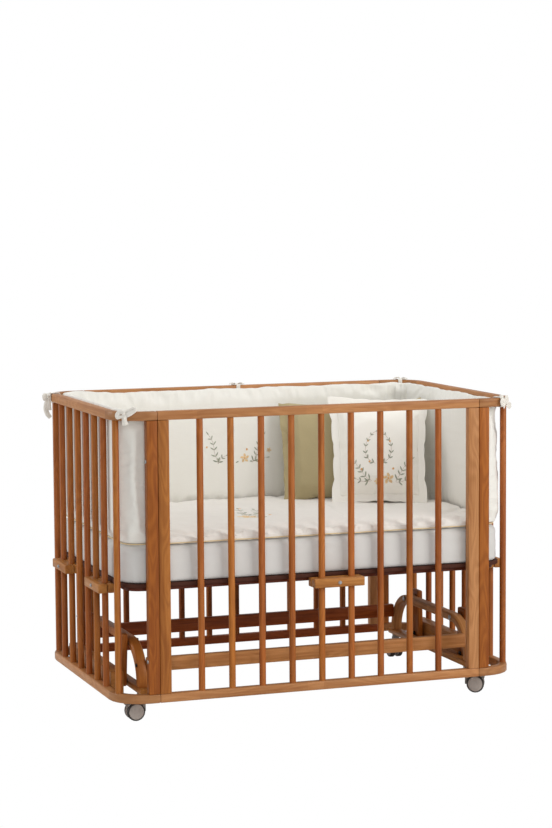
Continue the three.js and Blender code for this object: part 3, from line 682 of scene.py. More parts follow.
def cord(name, path, radius, body):
    """A round cord of fabric, such as piping, along a list of points."""
    points, sides = [], 8
    for i, here in enumerate(path):
        along = (path[min(i + 1, len(path) - 1)] - path[max(i - 1, 0)]).normalized()
        side = along.cross(Vector((0, 0, 1))).normalized()
        other = side.cross(along)
        for k in range(sides):
            angle = 2 * math.pi * k / sides
            points.append(here + (side * math.cos(angle) + other * math.sin(angle)) * radius)
    piece = new_piece(name, points, tube_faces(len(path), sides), piping_cotton)
    outward(piece)
    attach(piece, body)


def lay_on(piece, direction):
    """A function that sends a ray from a place onto a piece as it shows: (place, normal), or None."""
    shown = as_shown(piece)
    mesh = shown.to_mesh()
    points = [shown.matrix_world @ v.co for v in mesh.vertices]
    tree = BVHTree.FromPolygons(points, [tuple(p.vertices) for p in mesh.polygons])
    shown.to_mesh_clear()

    def land(start):
        place, normal, _, _ = tree.ray_cast(start, direction, 0.3)
        return None if place is None else (place, normal)
    return land


# ---- mattress in its fitted sheet ----
def make_mattress():
    """A foam block in an elasticated sheet: soft edges, and gathers at the foot of each corner."""
    outline = Ring(mattress_high.x, mattress_high.y, 60 * MM)
    count, edge = 640, 22 * MM
    low, high = mattress_low.z, mattress_high.z
    profile = [(inset * MM, low + rise * MM) for inset, rise in (
        (60, 1.5), (26, 0.6), (12, 0), (5, 1.2), (1.8, 4.5), (0.6, 9), (0.2, 16))]
    for k in range(1, 10):
        share = k / 10
        profile.append((0.3 * MM * math.sin(share * 9), low + 16 * MM + share * (high - low - 38 * MM)))
    for k in range(7):
        angle = math.pi / 2 * k / 6
        profile.append((20 * MM * (1 - math.cos(angle)), high - edge + edge * math.sin(angle)))
    profile.append((60 * MM, high))
    points = []
    for inset, z in profile:
        foot = max(0.0, 1 - (z - low) / (62 * MM))
        top = max(0.0, 1 - (high - z) / (30 * MM))
        elastic = 2.8 * foot * (1 - foot)
        for i in range(count):
            distance = outline.length * i / count
            place, normal = outline.at(distance)
            corner = outline.near_corner(distance, 105 * MM)
            gather = math.sin(distance / MM / 11 * 2 * math.pi + 1.3 * math.sin(distance * 37))
            gather += 0.6 * math.sin(distance / MM / 6.7 * 2 * math.pi + 2.0)
            soft = rough(place.x * 6, place.y * 6, z * 13 + 4)
            fold = rough(place.x * 22, place.y * 22, z * 7 + 9)
            drape = abs(rough(place.x * 5, place.y * 5, z * 48 + 21))
            depth = corner ** 0.6 * (foot ** 1.5 * 1.7 + top * 0.35) * gather
            depth += 1.3 * soft + 0.9 * fold * (0.4 + foot) + 1.9 * drape + 1.5 * corner * abs(fold)
            inward = inset + max(0.0, 2.4 + depth - elastic) * MM
            points.append(Vector((place.x, place.y, z)) - normal * inward)
    piece = new_piece("mattress_in_fitted_sheet", points, tube_faces(len(profile), count), sheet_cotton)
    outward(piece)
    stand_for(piece, "mattress", "bed")


make_mattress()


# ---- bumper ----
BUMPER_HALF = 13 * MM
BUMPER_END_X = 470 * MM
BUMPER_STEP = 8.5 * MM
bumper_ring = Ring(bumper_high.x - BUMPER_HALF, bumper_high.y - BUMPER_HALF, 50 * MM)


def gather_bumper(piece):
    """Fine puckers where the cloth is gathered on its seams, and gathers that run up its inner corners."""
    points, normals = coordinates_of(piece), normals_of(piece)
    run, level = (read(piece.data.attributes[name].data, "value", 1)[:, 0] for name in ("run", "level"))
    inner = level <= 0
    height = np.abs(level)
    to_seam = np.minimum(height, 1 - height)
    near_seam = np.clip(1 - to_seam / 0.16, 0, 1)
    corner = np.array([bumper_ring.near_corner(r, 120 * MM) for r in run])
    drift = field(np.column_stack((run, level, run)), (14, 2.5, 0), 3.0)
    puckers = np.abs(np.sin(run * np.pi / (17 * MM) + 5 * drift)) ** 0.7
    tucks = field(np.column_stack((run, height, inner)), (70, 3.5, 5), 7.0)
    gathers = np.abs(np.sin(run * np.pi / (14 * MM) + 3 * drift)) ** 0.8
    creases = 2 * np.abs(field(points, (9, 9, 30), 12.0)) + 0.6 * field(points, (20, 20, 60), 2.0)
    depth = near_seam ** 1.2 * (2.3 * (1 - puckers) + 1.6 * np.maximum(tucks, 0))
    depth += np.where(inner, corner * (3.4 * (1 - gathers) + 1.2 * tucks), 0.6 * corner * tucks)
    at_end = np.abs(points[:, 1] + bumper_high.y) < 70 * MM
    depth += np.where(at_end, 2.6, 0.6) * creases * (1 - near_seam)
    on_seam = np.clip(to_seam / 0.02, 0, 1)
    points -= normals * (depth * on_seam * MM)[:, None]
    move_to(piece, inside_cage(points, 0.8 * MM))


def make_bumper():
    """One long pad that lines both ends and the back, with puckers along its seams and at its corners."""
    run = bumper_ring.length - 2 * BUMPER_END_X
    columns = int(run / BUMPER_STEP)
    low, high = bumper_low.z + 0.6 * MM, bumper_high.z + 6.5 * MM
    rows = int((high - low) / BUMPER_STEP)
    points, runs, levels = [], [], []
    loop = 2 * rows
    for c in range(columns + 1):
        distance = BUMPER_END_X + run * c / columns
        place, normal = bumper_ring.at(distance)
        near_end = min(c, columns - c) * BUMPER_STEP
        taper = math.sqrt(min(1.0, (near_end + 0.8 * MM) / (16 * MM)))
        corner = bumper_ring.near_corner(distance, 90 * MM)
        crest = 3.6 * rough(distance * 10, 0, 3) + 2.4 * rough(distance * 34, 0, 5)
        left_rise = 8 * max(0.0, min(1.0, (-place.x / MM - 380) / 120))
        for r in range(loop):
            level = r / rows if r <= rows else 2 - r / rows
            side = -1 if r < rows else 1
            height = 2 * level - 1
            plump = (1 - abs(height) ** 9) ** 0.5
            seam = max(0.0, abs(height) - 0.35) / 0.65
            pucker = rough(distance * 60, side * 2.0, 1.7) + 0.6 * rough(distance * 130, side * 2.0, 6.1)
            swell = 0.86 + 0.10 * rough(distance * 11, side * 4.0, level * 4) - 0.30 * seam * abs(pucker)
            fold = (1.2 if side < 0 else 0.4) * math.sin(distance / MM / 13 * 2 * math.pi)
            squeeze = corner * fold * (0.55 + 0.45 * seam)
            offset = side * BUMPER_HALF * plump * taper * swell + squeeze * MM * plump
            z = low + (high - 1.4 * MM - low) * level + (left_rise + crest) * MM * max(0.0, height) ** 3
            points.append(place + normal * offset + Vector((0, 0, z)))
            runs.append(distance)
            levels.append(level * side)
    faces = grid_faces(columns + 1, loop)
    faces += [tuple(range(loop)), tuple(reversed(range(columns * loop, (columns + 1) * loop)))]
    piece = new_piece("bumper_pad", points, faces, bumper_cotton)
    outward(piece)
    seams = np.array([i % loop in (0, rows) for i in range(len(points))])
    puff(piece, pressure=2.2, frames=14, cap=7 * MM, growth=0.035, pinned=seams)
    for name, values in (("run", runs), ("level", levels)):
        piece.data.attributes.new(name, "FLOAT", "POINT").data.foreach_set("value", values)
    refine(piece)
    apply_modifiers(piece)
    gather_bumper(piece)
    stand_for(piece, "bumper", "cage")
    return piece


bumper = make_bumper()

# ---- quilt ----
# The two cushions stand on the quilt: the place of each foot and half its length in mm, and its turn.
SAGE_FOOT, SAGE_TURN = (309.7, 145), -20
IVORY_FOOT, IVORY_TURN = (335.7, 42), -24
CUSHION_DENTS = ((SAGE_FOOT, 210, SAGE_TURN), (IVORY_FOOT, 135, IVORY_TURN))
PANEL_REACH = 466 * MM


def ruffle_quilt(piece):
    """Slanting dents along the front edge, where the seam draws the filling in, and soft folds on top."""
    points, normals = coordinates_of(piece), normals_of(piece)
    x, y, z = points.T
    edge = y - np.where(np.abs(x) < PANEL_REACH, quilt_low.y, -quilt_high.y)
    near = np.clip(1 - edge / (62 * MM), 0, 1)
    slant = x + 0.55 * edge + 0.012 * field(points, (9, 9, 0), 4.0)
    wave = np.abs(np.sin(slant * np.pi / (54 * MM) + 2.5 * field(points, (6, 0, 0), 1.0))) ** 0.6
    small = field(points, (60, 25, 20), 6.0)
    upper = np.clip((z - quilt_low.z - 5 * MM) / (10 * MM), 0, 1)
    crumples = np.abs(field(points, (75, 38, 30), 16.0))
    depth = near ** 0.8 * upper * (5.6 * (1 - wave) + 1.6 * small + 5.5 * crumples)
    fold = x - (175 * MM + (y - 60 * MM) * 0.157)
    inside = (y < 70 * MM) & (y > -260 * MM)
    depth += np.where(inside, 2.6 * np.exp(-(fold / (5 * MM)) ** 2), 0) * upper
    depth += 0.9 * field(points, (26, 20, 5), 11.0) * upper
    for foot, half, turn in CUSHION_DENTS:
        along = np.array([math.cos(math.radians(turn)), math.sin(math.radians(turn))])
        from_foot = points[:, :2] / MM - np.array(foot)
        reach = np.abs(from_foot @ along) - half
        gap = np.hypot(from_foot @ np.array([-along[1], along[0]]), np.maximum(reach, 0))
        depth += 2.0 * np.exp(-(gap / 24) ** 2) * upper
    move_to(piece, points - normals * (depth * MM)[:, None])


def fine_copy(node, name, voxel, material):
    """A fine, even copy of a frame node's solid, ready for cloth."""
    piece = bpy.data.objects.new(name, nodes[node].data.copy())
    bpy.context.scene.collection.objects.link(piece)
    piece.data.materials.clear()
    piece.data.materials.append(material)
    piece.modifiers.new("weld", "WELD").merge_threshold = 0.02 * MM
    remesh = piece.modifiers.new("remesh", "REMESH")
    remesh.mode = "VOXEL"
    remesh.voxel_size = voxel
    remesh.use_smooth_shade = True
    apply_modifiers(piece)
    return piece


def make_quilt():
    """A filled quilt: flat over the mattress, and a rolled, puckered edge along its sides."""
    piece = fine_copy("quilt", "quilt_cover", 6.5 * MM, quilt_cotton)
    points = coordinates_of(piece)
    front_line = np.where(np.abs(points[:, 0]) < PANEL_REACH, -quilt_low.y, quilt_high.y)
    reach_y = np.minimum(quilt_high.y - points[:, 1], points[:, 1] + front_line)
    edge = np.minimum(quilt_high.x - np.abs(points[:, 0]), reach_y)
    near_edge = np.clip(1 - edge / (70 * MM), 0, 1)
    billow = field(points, (7, 7, 4), 3.0)
    quilted = field(points, (16, 16, 4), 8.0)
    ruffle = np.abs(field(points, (38, 12, 9), 5.0))
    drop = (2.6 + 2.4 * billow + 1.4 * quilted + 5.5 * near_edge * ruffle) * MM
    points[:, 2] -= np.where(points[:, 2] > (quilt_low.z + quilt_high.z) / 2, drop, 0)
    move_to(piece, points)
    seam = (edge < 5 * MM) & (np.abs(points[:, 2] - quilt_low.z - 7 * MM) < 5 * MM)
    puff(piece, pressure=2.0, frames=12, cap=6 * MM, growth=0.045, pinned=seam)
    points = coordinates_of(piece)
    points[:, 2] = np.clip(points[:, 2], quilt_low.z + 0.2 * MM, quilt_high.z + 5 * MM)
    move_to(piece, inside_cage(points, 3 * MM))
    refine(piece)
    apply_modifiers(piece)
    ruffle_quilt(piece)
    stand_for(piece, "quilt", "bed")
    return piece


quilt = make_quilt()


# ---- cushions ----
def pillow_case(name, width, height, material, cell=7.5 * MM):
    """Two flat sheets of fabric sewn together round the edge, standing in X and Z, front towards -Y."""
    across, up = int(width / cell), int(height / cell)
    index, points, faces = {}, [], []

    def key(i, k, side):
        return (i, k, 0 if i in (0, across) or k in (0, up) else side)

    for side in SIDES:
        for i in range(across + 1):
            for k in range(up + 1):
                if key(i, k, side) not in index:
                    index[key(i, k, side)] = len(points)
                    u, v = 2 * i / across - 1, 2 * k / up - 1
                    crown = (2 + 9 * (1 - abs(u) ** 4) * (1 - abs(v) ** 4)) * MM
                    points.append((u * width / 2, key(i, k, side)[2] * crown, v * height / 2))
    for side in SIDES:
        for i in range(across):
            for k in range(up):
                corners = ((i, k), (i + 1, k), (i + 1, k + 1), (i, k + 1))
                ids = [index[key(a, b, side)] for a, b in corners]
                faces.append(tuple(ids if side < 0 else reversed(ids)))
    rim = [index[(i, 0, 0)] for i in range(across)] + [index[(across, k, 0)] for k in range(up)]
    rim += [index[(i, up, 0)] for i in range(across, 0, -1)] + [index[(0, k, 0)] for k in range(up, 0, -1)]
    return new_piece(name, points, faces, material), rim


def fill_case(piece, size, keep):
    """Fills a case and gives it its size. keep is how much of the sewn outline it keeps."""
    flat = coordinates_of(piece)
    puff(piece, pressure=14, frames=26, cap=34 * MM, bending=0.2, stiffness=20)
    points = coordinates_of(piece)
    points[:, [0, 2]] = keep * flat[:, [0, 2]] + (1 - keep) * points[:, [0, 2]]
    for axis in range(3):
        low, high = points[:, axis].min(), points[:, axis].max()
        points[:, axis] = (points[:, axis] - (low + high) / 2) * size[axis] / (high - low)
    points[:, 2] += size[2] / 2
    move_to(piece, points)


def standing(foot, turn, lean, tilt):
    """Where a cushion stands: on its lower edge on the quilt, turned, leaning back and tilted sideways."""
    turned = Matrix.Rotation(math.radians(turn), 4, "Z") @ Matrix.Rotation(math.radians(-lean), 4, "X")
    turned = turned @ Matrix.Rotation(math.radians(tilt), 4, "Y")
    return Matrix.Translation((foot[0] * MM, foot[1] * MM, quilt_high.z - 2.9 * MM)) @ turned


def pull_corners(piece, width, height, pulls):
    """Moves the corners by (x, z) in mm: lower left, lower right, upper left and upper right."""
    points = coordinates_of(piece)
    u = (points[:, 0] / width + 0.5)[:, None]
    v = (points[:, 2] / height)[:, None]
    shares = ((1 - u) * (1 - v), u * (1 - v), (1 - u) * v, u * v)
    points[:, [0, 2]] += sum(share * np.array(pull) * MM for share, pull in zip(shares, pulls))
    move_to(piece, points)


def crumple(piece, amount, scale, seed):
    """Soft creases, deepest near the seams."""
    points, normals = coordinates_of(piece), normals_of(piece)
    width, height = points[:, 0].max() - points[:, 0].min(), points[:, 2].max() - points[:, 2].min()
    u = np.abs(points[:, 0]) / (width / 2)
    v = np.abs(points[:, 2] - height / 2) / (height / 2)
    near = np.clip((np.maximum(u, v) - 0.45) / 0.5, 0, 1)
    fold = np.abs(field(points, scale, seed)) + 0.5 * field(points, scale * 2.2, seed + 3)
    move_to(piece, points - normals * (amount * (0.25 + near) * fold)[:, None])


SAGE_SIZE = (455 * MM, 66 * MM, 303.5 * MM)
SAGE_PULLS = ((5.5, 0), (-20, -6), (-5.5, 1), (-20, 0))
SAGE_BORDER = 30 * MM
IVORY_SIZE = (290 * MM, 74 * MM, 320 * MM)
IVORY_PULLS = ((7, 0), (-2.5, 0), (-8, 6), (2, -6))
IVORY_FLANGE = 21 * MM
FLANGE_LAP = 4 * MM


def make_sage_pillow():
    """The wide pillow, with a flat border at its left end, marked by a dashed seam."""
    width, _, height = SAGE_SIZE
    piece, _ = pillow_case("sage_pillow_case", width, height, sage_cotton)
    fill_case(piece, SAGE_SIZE, 0.6)
    refine(piece)
    apply_modifiers(piece)
    points = coordinates_of(piece)
    flat = np.clip((points[:, 0] + width / 2 - SAGE_BORDER) / (34 * MM), 0, 1)
    points[:, 1] *= 0.13 + 0.87 * flat ** 0.6
    move_to(piece, points)
    crumple(piece, 4.5 * MM, 13, 5.0)
    points = coordinates_of(piece)
    points[:, 2] += 3.0 * MM * field(points, (11, 0, 0), 2.0) * (points[:, 2] > height / 2)
    move_to(piece, points)
    pull_corners(piece, width, height, SAGE_PULLS)
    place = standing(SAGE_FOOT, SAGE_TURN, 12, -1.8)
    piece.data.transform(place)
    stand_for(piece, "sage_pillow", "bed")
    return piece, place


def make_flange(edge, width, height):
    """The cushion's flat border: it starts under the case's rim and ends in four pointed corners."""
    outline, layers = [], 6
    for here in edge:
        u, v = here.x / (width / 2), (here.z - IVORY_SIZE[2] / 2) / (height / 2)
        ramp_u, ramp_v = (min(1.0, max(0.0, (abs(share) - 0.84) / 0.14)) ** 0.8 for share in (u, v))
        out = Vector((math.copysign(ramp_u, u), 0, math.copysign(ramp_v, v)))
        for k in range(layers):
            share = k / (layers - 1)
            ripple = 3.2 * MM * share * rough(here.x * 22, here.z * 22, 2.0)
            reach = (IVORY_FLANGE + FLANGE_LAP) * share - FLANGE_LAP
            reach *= 1 + 0.05 * rough(here.x * 12, here.z * 12, 7.0)
            outline.append(here + out * reach + Vector((0, ripple, 0)))
    faces = [face[::-1] for face in grid_faces(len(edge), layers, round_rows=True, round_columns=False)]
    border = new_piece("ivory_cushion_flange", outline, faces, cushion_cotton)
    thick = border.modifiers.new("two_layers", "SOLIDIFY")
    thick.thickness = 2.2 * MM
    thick.offset = 0
    return border


def make_ivory_cushion():
    """The square cushion: a filled case with a flat, slightly rippled flange."""
    width, height = IVORY_SIZE[0] - 2 * IVORY_FLANGE, IVORY_SIZE[2] - 2 * IVORY_FLANGE
    piece, rim = pillow_case("ivory_cushion_case", width, height, cushion_cotton)
    fill_case(piece, (width, IVORY_SIZE[1], height), 0.7)
    points = coordinates_of(piece)
    points[:, 2] += IVORY_FLANGE
    move_to(piece, points)
    border = make_flange([Vector(points[i]) for i in rim], width, height)
    refine(piece)
    apply_modifiers(piece)
    points = coordinates_of(piece)
    u, v = np.abs(points[:, 0]) / (width / 2), np.abs(points[:, 2] - IVORY_SIZE[2] / 2) / (height / 2)
    points[:, 1] *= 0.6 + 0.4 * np.clip((1 - np.maximum(u, v)) / 0.2, 0, 1) ** 0.8
    move_to(piece, points)
    crumple(piece, 2.4 * MM, 15, 9.0)
    place = standing(IVORY_FOOT, IVORY_TURN, 17, -0.7)
    for part in (piece, border):
        pull_corners(part, IVORY_SIZE[0], IVORY_SIZE[2], IVORY_PULLS)
        part.data.transform(place)
    refine(border)
    attach(border, "bed")
    stand_for(piece, "ivory_cushion", "bed")
    return piece, place


sage_pillow, sage_place = make_sage_pillow()
ivory_cushion, ivory_place = make_ivory_cushion()


# ---- piping ----
def make_bumper_piping():
    """The piping in the seam along the foot of the bumper."""
    start, steps = BUMPER_END_X + 4 * MM, 420
    foot = Vector((0, 0, bumper_low.z + 0.2 * MM))
    run = bumper_ring.length - 2 * start
    cord("bumper_piping", [bumper_ring.at(start + run * k / steps)[0] + foot for k in range(steps + 1)],
         1.9 * MM, "cage")


def make_quilt_piping():
    """The piping along the quilt's front seam, laid on the quilt's own edge."""
    land = lay_on(quilt, Vector((0, 1, 0)))
    path, half, steps = [], 460, 300
    for k in range(steps + 1):
        x = (-half + 2 * half * k / steps) * MM
        level = quilt_low.z + (3.6 + 1.2 * rough(x * 14)) * MM
        spot = land(Vector((x, -0.45, level)))
        if spot is not None:
            path.append(Vector((x, max(spot[0].y - 0.6 * MM, quilt_low.y - 1.5 * MM), level)))
    for k in range(1, len(path) - 1):
        path[k].y = min(path[k].y, (path[k - 1].y + path[k + 1].y) / 2 + 0.4 * MM)
    cord("quilt_piping", path, 1.6 * MM, "bed")


make_bumper_piping()
make_quilt_piping()


# ---- embroidery ----
def sewn(name, stitches, where, material, body, width=1.0 * MM):
    """Lays stitches, pairs of points on a pattern, on a surface. where turns a point into (place, normal)."""
    points, faces = [], []
    for first, last in stitches:
        steps = max(2, int((last - first).length / (1.8 * MM)) + 1)
        spots = [where(first.lerp(last, k / steps)) for k in range(steps + 1)]
        if any(spot is None for spot in spots):
            continue
        faces += tube_faces(steps + 1, 4, len(points))
        for k, (place, normal) in enumerate(spots):
            along = (spots[min(k + 1, steps)][0] - spots[max(k - 1, 0)][0]).normalized()
            swell = 0.35 + 0.65 * math.sin(math.pi * (0.12 + 0.76 * k / steps))
            centre = place + normal * 0.15 * MM
            wide, tall = normal.cross(along).normalized() * width / 2 * swell, normal * 0.45 * MM * swell
            points += [centre + wide, centre + tall, centre - wide, centre - tall]
    piece = new_piece(name, points, faces, material)
    outward(piece)
    attach(piece, body)


def spline(points, steps):
    """More points along a smooth line through the given ones. steps turns a part's length into a number."""
    points = [Vector(p) for p in points]
    ends = [points[0], *points, points[-1]]
    line = []
    for before, here, there, after in zip(ends, ends[1:], ends[2:], ends[3:]):
        count = steps((there - here).length)
        for t in (m / count for m in range(count)):
            bend = (2 * before - 5 * here + 4 * there - after) * t * t
            twist = (3 * here - before - 3 * there + after) * t ** 3
            line.append(0.5 * (2 * here + (there - before) * t + bend + twist))
    return line + [points[-1]]


def stem(points):
    """Short overlapping stitches along a smooth line through points in mm."""
    line = spline(points, lambda length: max(2, int(length / 2.6)))
    return [(a * MM, b * MM) for a, b in zip(line, line[1:])]


def leaf(x, y, angle, length, width):
    """Satin stitches across a leaf. Places and sizes in mm, the angle in degrees."""
    turn = math.radians(angle)
    along, across = Vector((math.cos(turn), math.sin(turn))), Vector((-math.sin(turn), math.cos(turn)))
    count = max(4, int(length / 0.95))
    stitches = []
    for share in ((k + 0.5) / count for k in range(count)):
        half = width / 2 * math.sin(math.pi * share) ** 0.75
        middle = Vector((x, y)) + along * length * share
        slanted = across * half + along * half * 0.5
        stitches.append(((middle - slanted) * MM, (middle + slanted) * MM))
    return stitches


def berry(x, y, radius):
    count = max(3, int(2 * radius / 0.9))
    stitches = []
    for level in ((2 * (k + 0.5) / count - 1) * radius for k in range(count)):
        half = math.sqrt(max(radius * radius - level * level, 0.05))
        stitches.append((Vector((x - half, y + level)) * MM, Vector((x + half, y + level)) * MM))
    return stitches


def blossom(x, y, radius, start=90):
    stitches, heart = [], 0.22 * radius
    for angle in (start + 72 * k for k in range(5)):
        turn = math.radians(angle)
        stitches += leaf(x + heart * math.cos(turn), y + heart * math.sin(turn), angle,
                         radius - heart, radius * 0.62)
    return stitches


def sprig(points, length, width, pairs, spread=48):
    """A stem with leaves in pairs along it, and one at its tip."""
    stems, leaves = stem(points), []

    def heading(stitch):
        return math.degrees(math.atan2(*(stitch[1] - stitch[0]).yx))

    for k in range(pairs):
        place = stems[int((k + 0.6) / (pairs + 0.3) * (len(stems) - 1))]
        size = 1 - 0.35 * k / pairs
        for side in SIDES:
            leaves += leaf(*(place[0] / MM), heading(place) + side * spread, length * size, width * size)
    tip = stems[-1]
    leaves += leaf(*(tip[1] / MM), heading(tip), length * 0.8, width * 0.8)
    return stems, leaves


def embroider(name, where, body, sprigs, blossoms, berries, leaves=()):
    """Sews a pattern: the arguments of its sprigs, blossoms, berries and single leaves."""
    grown = [sprig(*values) for values in sprigs]
    kinds = {"stems": ([s for stems, _ in grown for s in stems], stem_thread, 0.8 * MM),
             "leaves": ([s for _, more in grown for s in more], leaf_thread, 1.0 * MM),
             "petals": ([s for values in blossoms for s in blossom(*values)], flower_thread, 1.0 * MM),
             "berries": ([s for values in berries for s in berry(*values)], berry_thread, 1.0 * MM)}
    kinds["leaves"][0].extend(s for values in leaves for s in leaf(*values))
    for kind, (stitches, thread, width) in kinds.items():
        sewn(f"{name}_{kind}", stitches, where, thread, body, width)


def embroider_bumper():
    """A row of sprigs, a flower and berries on the inside of the bumper's back part."""
    land = lay_on(bumper, Vector((0, 1, 0)))
    embroider(
        "bumper_sprigs", lambda spot: land(Vector((spot.x, 0.20, spot.y))), "cage",
        sprigs=((((-68, 617), (-80, 650), (-84, 680), (-98, 704)), 17, 4.4, 5),
                (((-70, 618), (-58, 634), (-46, 640)), 14, 4.4, 2),
                (((38, 617), (52, 640), (58, 668), (74, 696)), 17, 4.4, 5),
                (((40, 618), (62, 628), (84, 630)), 14, 4.2, 2)),
        blossoms=((15, 631, 14), (92, 652, 8, 60)),
        berries=((15, 631, 3.2), (-24, 641, 3.6), (22, 657, 3.4), (-34, 622, 2.8), (-104, 668, 3.0),
                 (92, 652, 2.0)),
        leaves=((-4, 622, 200, 10, 4.4), (31, 622, -15, 9, 4)))


def embroider_cushion():
    """A plain wreath of leaves and berries over two sprigs and a flower."""
    land = lay_on(ivory_cushion, (ivory_place.to_3x3() @ Vector((0, 1, 0))).normalized())
    arc = ((8, -46), (33, -28), (37, 8), (20, 40), (8, 49))
    embroider(
        "cushion_wreath",
        lambda spot: land(ivory_place @ Vector((spot.x, -0.12, spot.y + IVORY_SIZE[2] / 2))), "bed",
        sprigs=(*(([(side * x, y) for x, y in arc], 13, 4.2, 6, 38) for side in SIDES),
                (((-20, -96), (-38, -84), (-54, -62), (-74, -36)), 17, 4.4, 5),
                (((-22, -97), (-46, -98), (-66, -90)), 14, 4.4, 2),
                (((50, -100), (62, -80), (76, -56), (96, -34)), 17, 4.4, 5),
                (((52, -101), (72, -98), (90, -86)), 14, 4.4, 2)),
        blossoms=((29, -90, 16), (-4, -98, 9, 30)),
        berries=((29, -90, 3.4), (-49, -63, 3.4), (43, -62, 3.4), (13, 45, 3.2), (-4, -98, 2.2),
                 (-30, 22, 3.0), (34, 20, 3.0), (-26, -40, 3.0)))


def embroider_quilt():
    """A small sprig and flower on the quilt's top."""
    land = lay_on(quilt, Vector((0, 0, -1)))
    embroider(
        "quilt_sprig", lambda spot: land(Vector((spot.x, spot.y, 0.62))), "bed",
        sprigs=((((-92, -150), (-84, -90), (-66, -30), (-58, 30)), 24, 9, 4),
                (((-94, -150), (-110, -80), (-108, -10), (-96, 60)), 24, 9, 4)),
        blossoms=((-124, -110, 30),),
        berries=((-124, -110, 6), (-44, -70, 5), (-88, 70, 5)))


def make_hem_stitches():
    """The dashed seam beside the flat border of the sage pillow."""
    land = lay_on(sage_pillow, (sage_place.to_3x3() @ Vector((0, 1, 0))).normalized())
    levels = [12 + 6.4 * k for k in range(44)]
    dashes = [(Vector((-196, level)) * MM, Vector((-196, level + 3.8)) * MM) for level in levels]
    sewn("sage_pillow_seam", dashes, lambda spot: land(sage_place @ Vector((spot.x, -0.12, spot.y))),
         sage_seam_thread, "bed", width=1.5 * MM)


embroider_bumper()
embroider_cushion()
embroider_quilt()
make_hem_stitches()


# ---- ties ----
def edge_faces(edge, size, base=0):
    """Faces between a closed line of points and the same line one layer, of that size, further on."""
    pairs = zip(edge, edge[1:] + edge[:1])
    return [(base + a, base + b, base + size + b, base + size + a) for a, b in pairs]


def ribbon(points, faces, path, widths, face_to, curl=0.25, thickness=1.5):
    """Adds a crumpled strip of cloth. Places in mm from the knot, with the flat side towards face_to."""
    line = spline(path, lambda length: 9)
    count, across, base = len(line), 7, len(points)
    for layer in SIDES:
        for i, here in enumerate(line):
            along = (line[min(i + 1, count - 1)] - line[max(i - 1, 0)]).normalized()
            side = along.cross(Vector(face_to))
            if side.length <= 0.05:
                side = along.cross(Vector((0.3, 0.1, 1)))
            side.normalize()
            normal = side.cross(along).normalized()
            share = i / (count - 1) * (len(widths) - 1)
            k = min(int(share), len(widths) - 2)
            width = widths[k] + (widths[k + 1] - widths[k]) * (share - k)
            for m in range(across):
                u = 2 * m / (across - 1) - 1
                bow = curl * width * (1 - u * u) + 0.9 * noise.noise(here * 0.16 + Vector((u * 1.3, 0, 0)))
                bow += 0.55 * math.sin(u * 5 + i * 0.35)
                edge = 0.35 if m in (0, across - 1) else 1.0
                points.append(here + side * u * width / 2 + normal * (bow + layer * thickness / 2 * edge))
    size = count * across
    for layer in range(2):
        faces += grid_faces(count, across, base + layer * size, round_columns=False)
    rim = [*range(across), *range(2 * across - 1, size, across), *range(size - 2, size - across - 1, -1),
           *range(size - 2 * across, 0, -across)]
    faces += edge_faces(rim, size, base)


def knot(points, faces, centre, radii, seed):
    """Adds a small crumpled lump of cloth."""
    rings, sides, base = 12, 16, len(points)
    centre = Vector(centre)
    points.append(centre - Vector((0, 0, radii[2])))
    for i in range(1, rings):
        for k in range(sides):
            rise, turn = math.pi * i / rings, 2 * math.pi * k / sides
            way = Vector((math.sin(rise) * math.cos(turn), math.sin(rise) * math.sin(turn), -math.cos(rise)))
            fold = 1 + 0.30 * noise.noise(way * 1.9 + Vector((seed, 0, 0)))
            fold -= 0.22 * abs(math.sin(3 * turn + 2.5 * way.z + seed))
            points.append(centre + Vector([a * b * fold for a, b in zip(way, radii)]))
    points.append(centre + Vector((0, 0, radii[2])))
    last, top = len(points) - 1, len(points) - 1 - sides
    faces += grid_faces(rings - 1, sides, base + 1)
    for k in range(sides):
        n = (k + 1) % sides
        faces += [(base, base + 1 + n, base + 1 + k), (last, top + k, top + n)]


def band(points, faces, width, seed):
    """Adds the part of a tie that goes round the square rail. The knot is at its outer face, mid height."""
    half, corner, across, base = RAIL / MM / 2 + 0.9, 3.0, 9, len(points)
    profile = []
    for cx, cz, first in ((1, 1, 0), (-1, 1, 90), (-1, -1, 180), (1, -1, 270)):
        for angle in (math.radians(first + 22.5 * step) for step in range(5)):
            profile.append((cx * (half - corner) + corner * math.cos(angle),
                            cz * (half - corner) + corner * math.sin(angle)))
    for layer in (0.0, 1.3):
        for p, (y, z) in enumerate(profile):
            out = Vector((0, y, z)).normalized()
            drift = 1.6 * math.sin(p * 0.31 + seed)
            narrow = 1 - 0.18 * max(0.0, y / half)
            for m in range(across):
                u = 2 * m / (across - 1) - 1
                ruck = 0.7 * abs(rough(u * 3.2, seed, p * 0.15)) + 0.5 * abs(math.sin(u * 6 + seed))
                rise = layer * (1 if 0 < m < across - 1 else 0.3) + (ruck if layer else 0)
                points.append(Vector((u * width / 2 * narrow + drift, y + half - 0.4, z)) + out * rise)
    loop, size = len(profile), len(profile) * across
    for layer in range(2):
        faces += grid_faces(loop, across, base + layer * size, round_rows=True, round_columns=False)
    for m in (0, across - 1):
        faces += edge_faces([p * across + m for p in range(loop)], size, base)


rail_ring = Ring(end_high.x - RAIL / 2, end_high.y - RAIL / 2, CORNER_RADIUS - RAIL / 2)


def place_on_rail(x, y):
    """How far round the rails the point nearest to (x, y), in mm, lies."""
    spots = [rail_ring.length * k / 2000 for k in range(2000)]
    return min(spots, key=lambda d: (rail_ring.at(d)[0] - Vector((x * MM, y * MM, 0))).length)


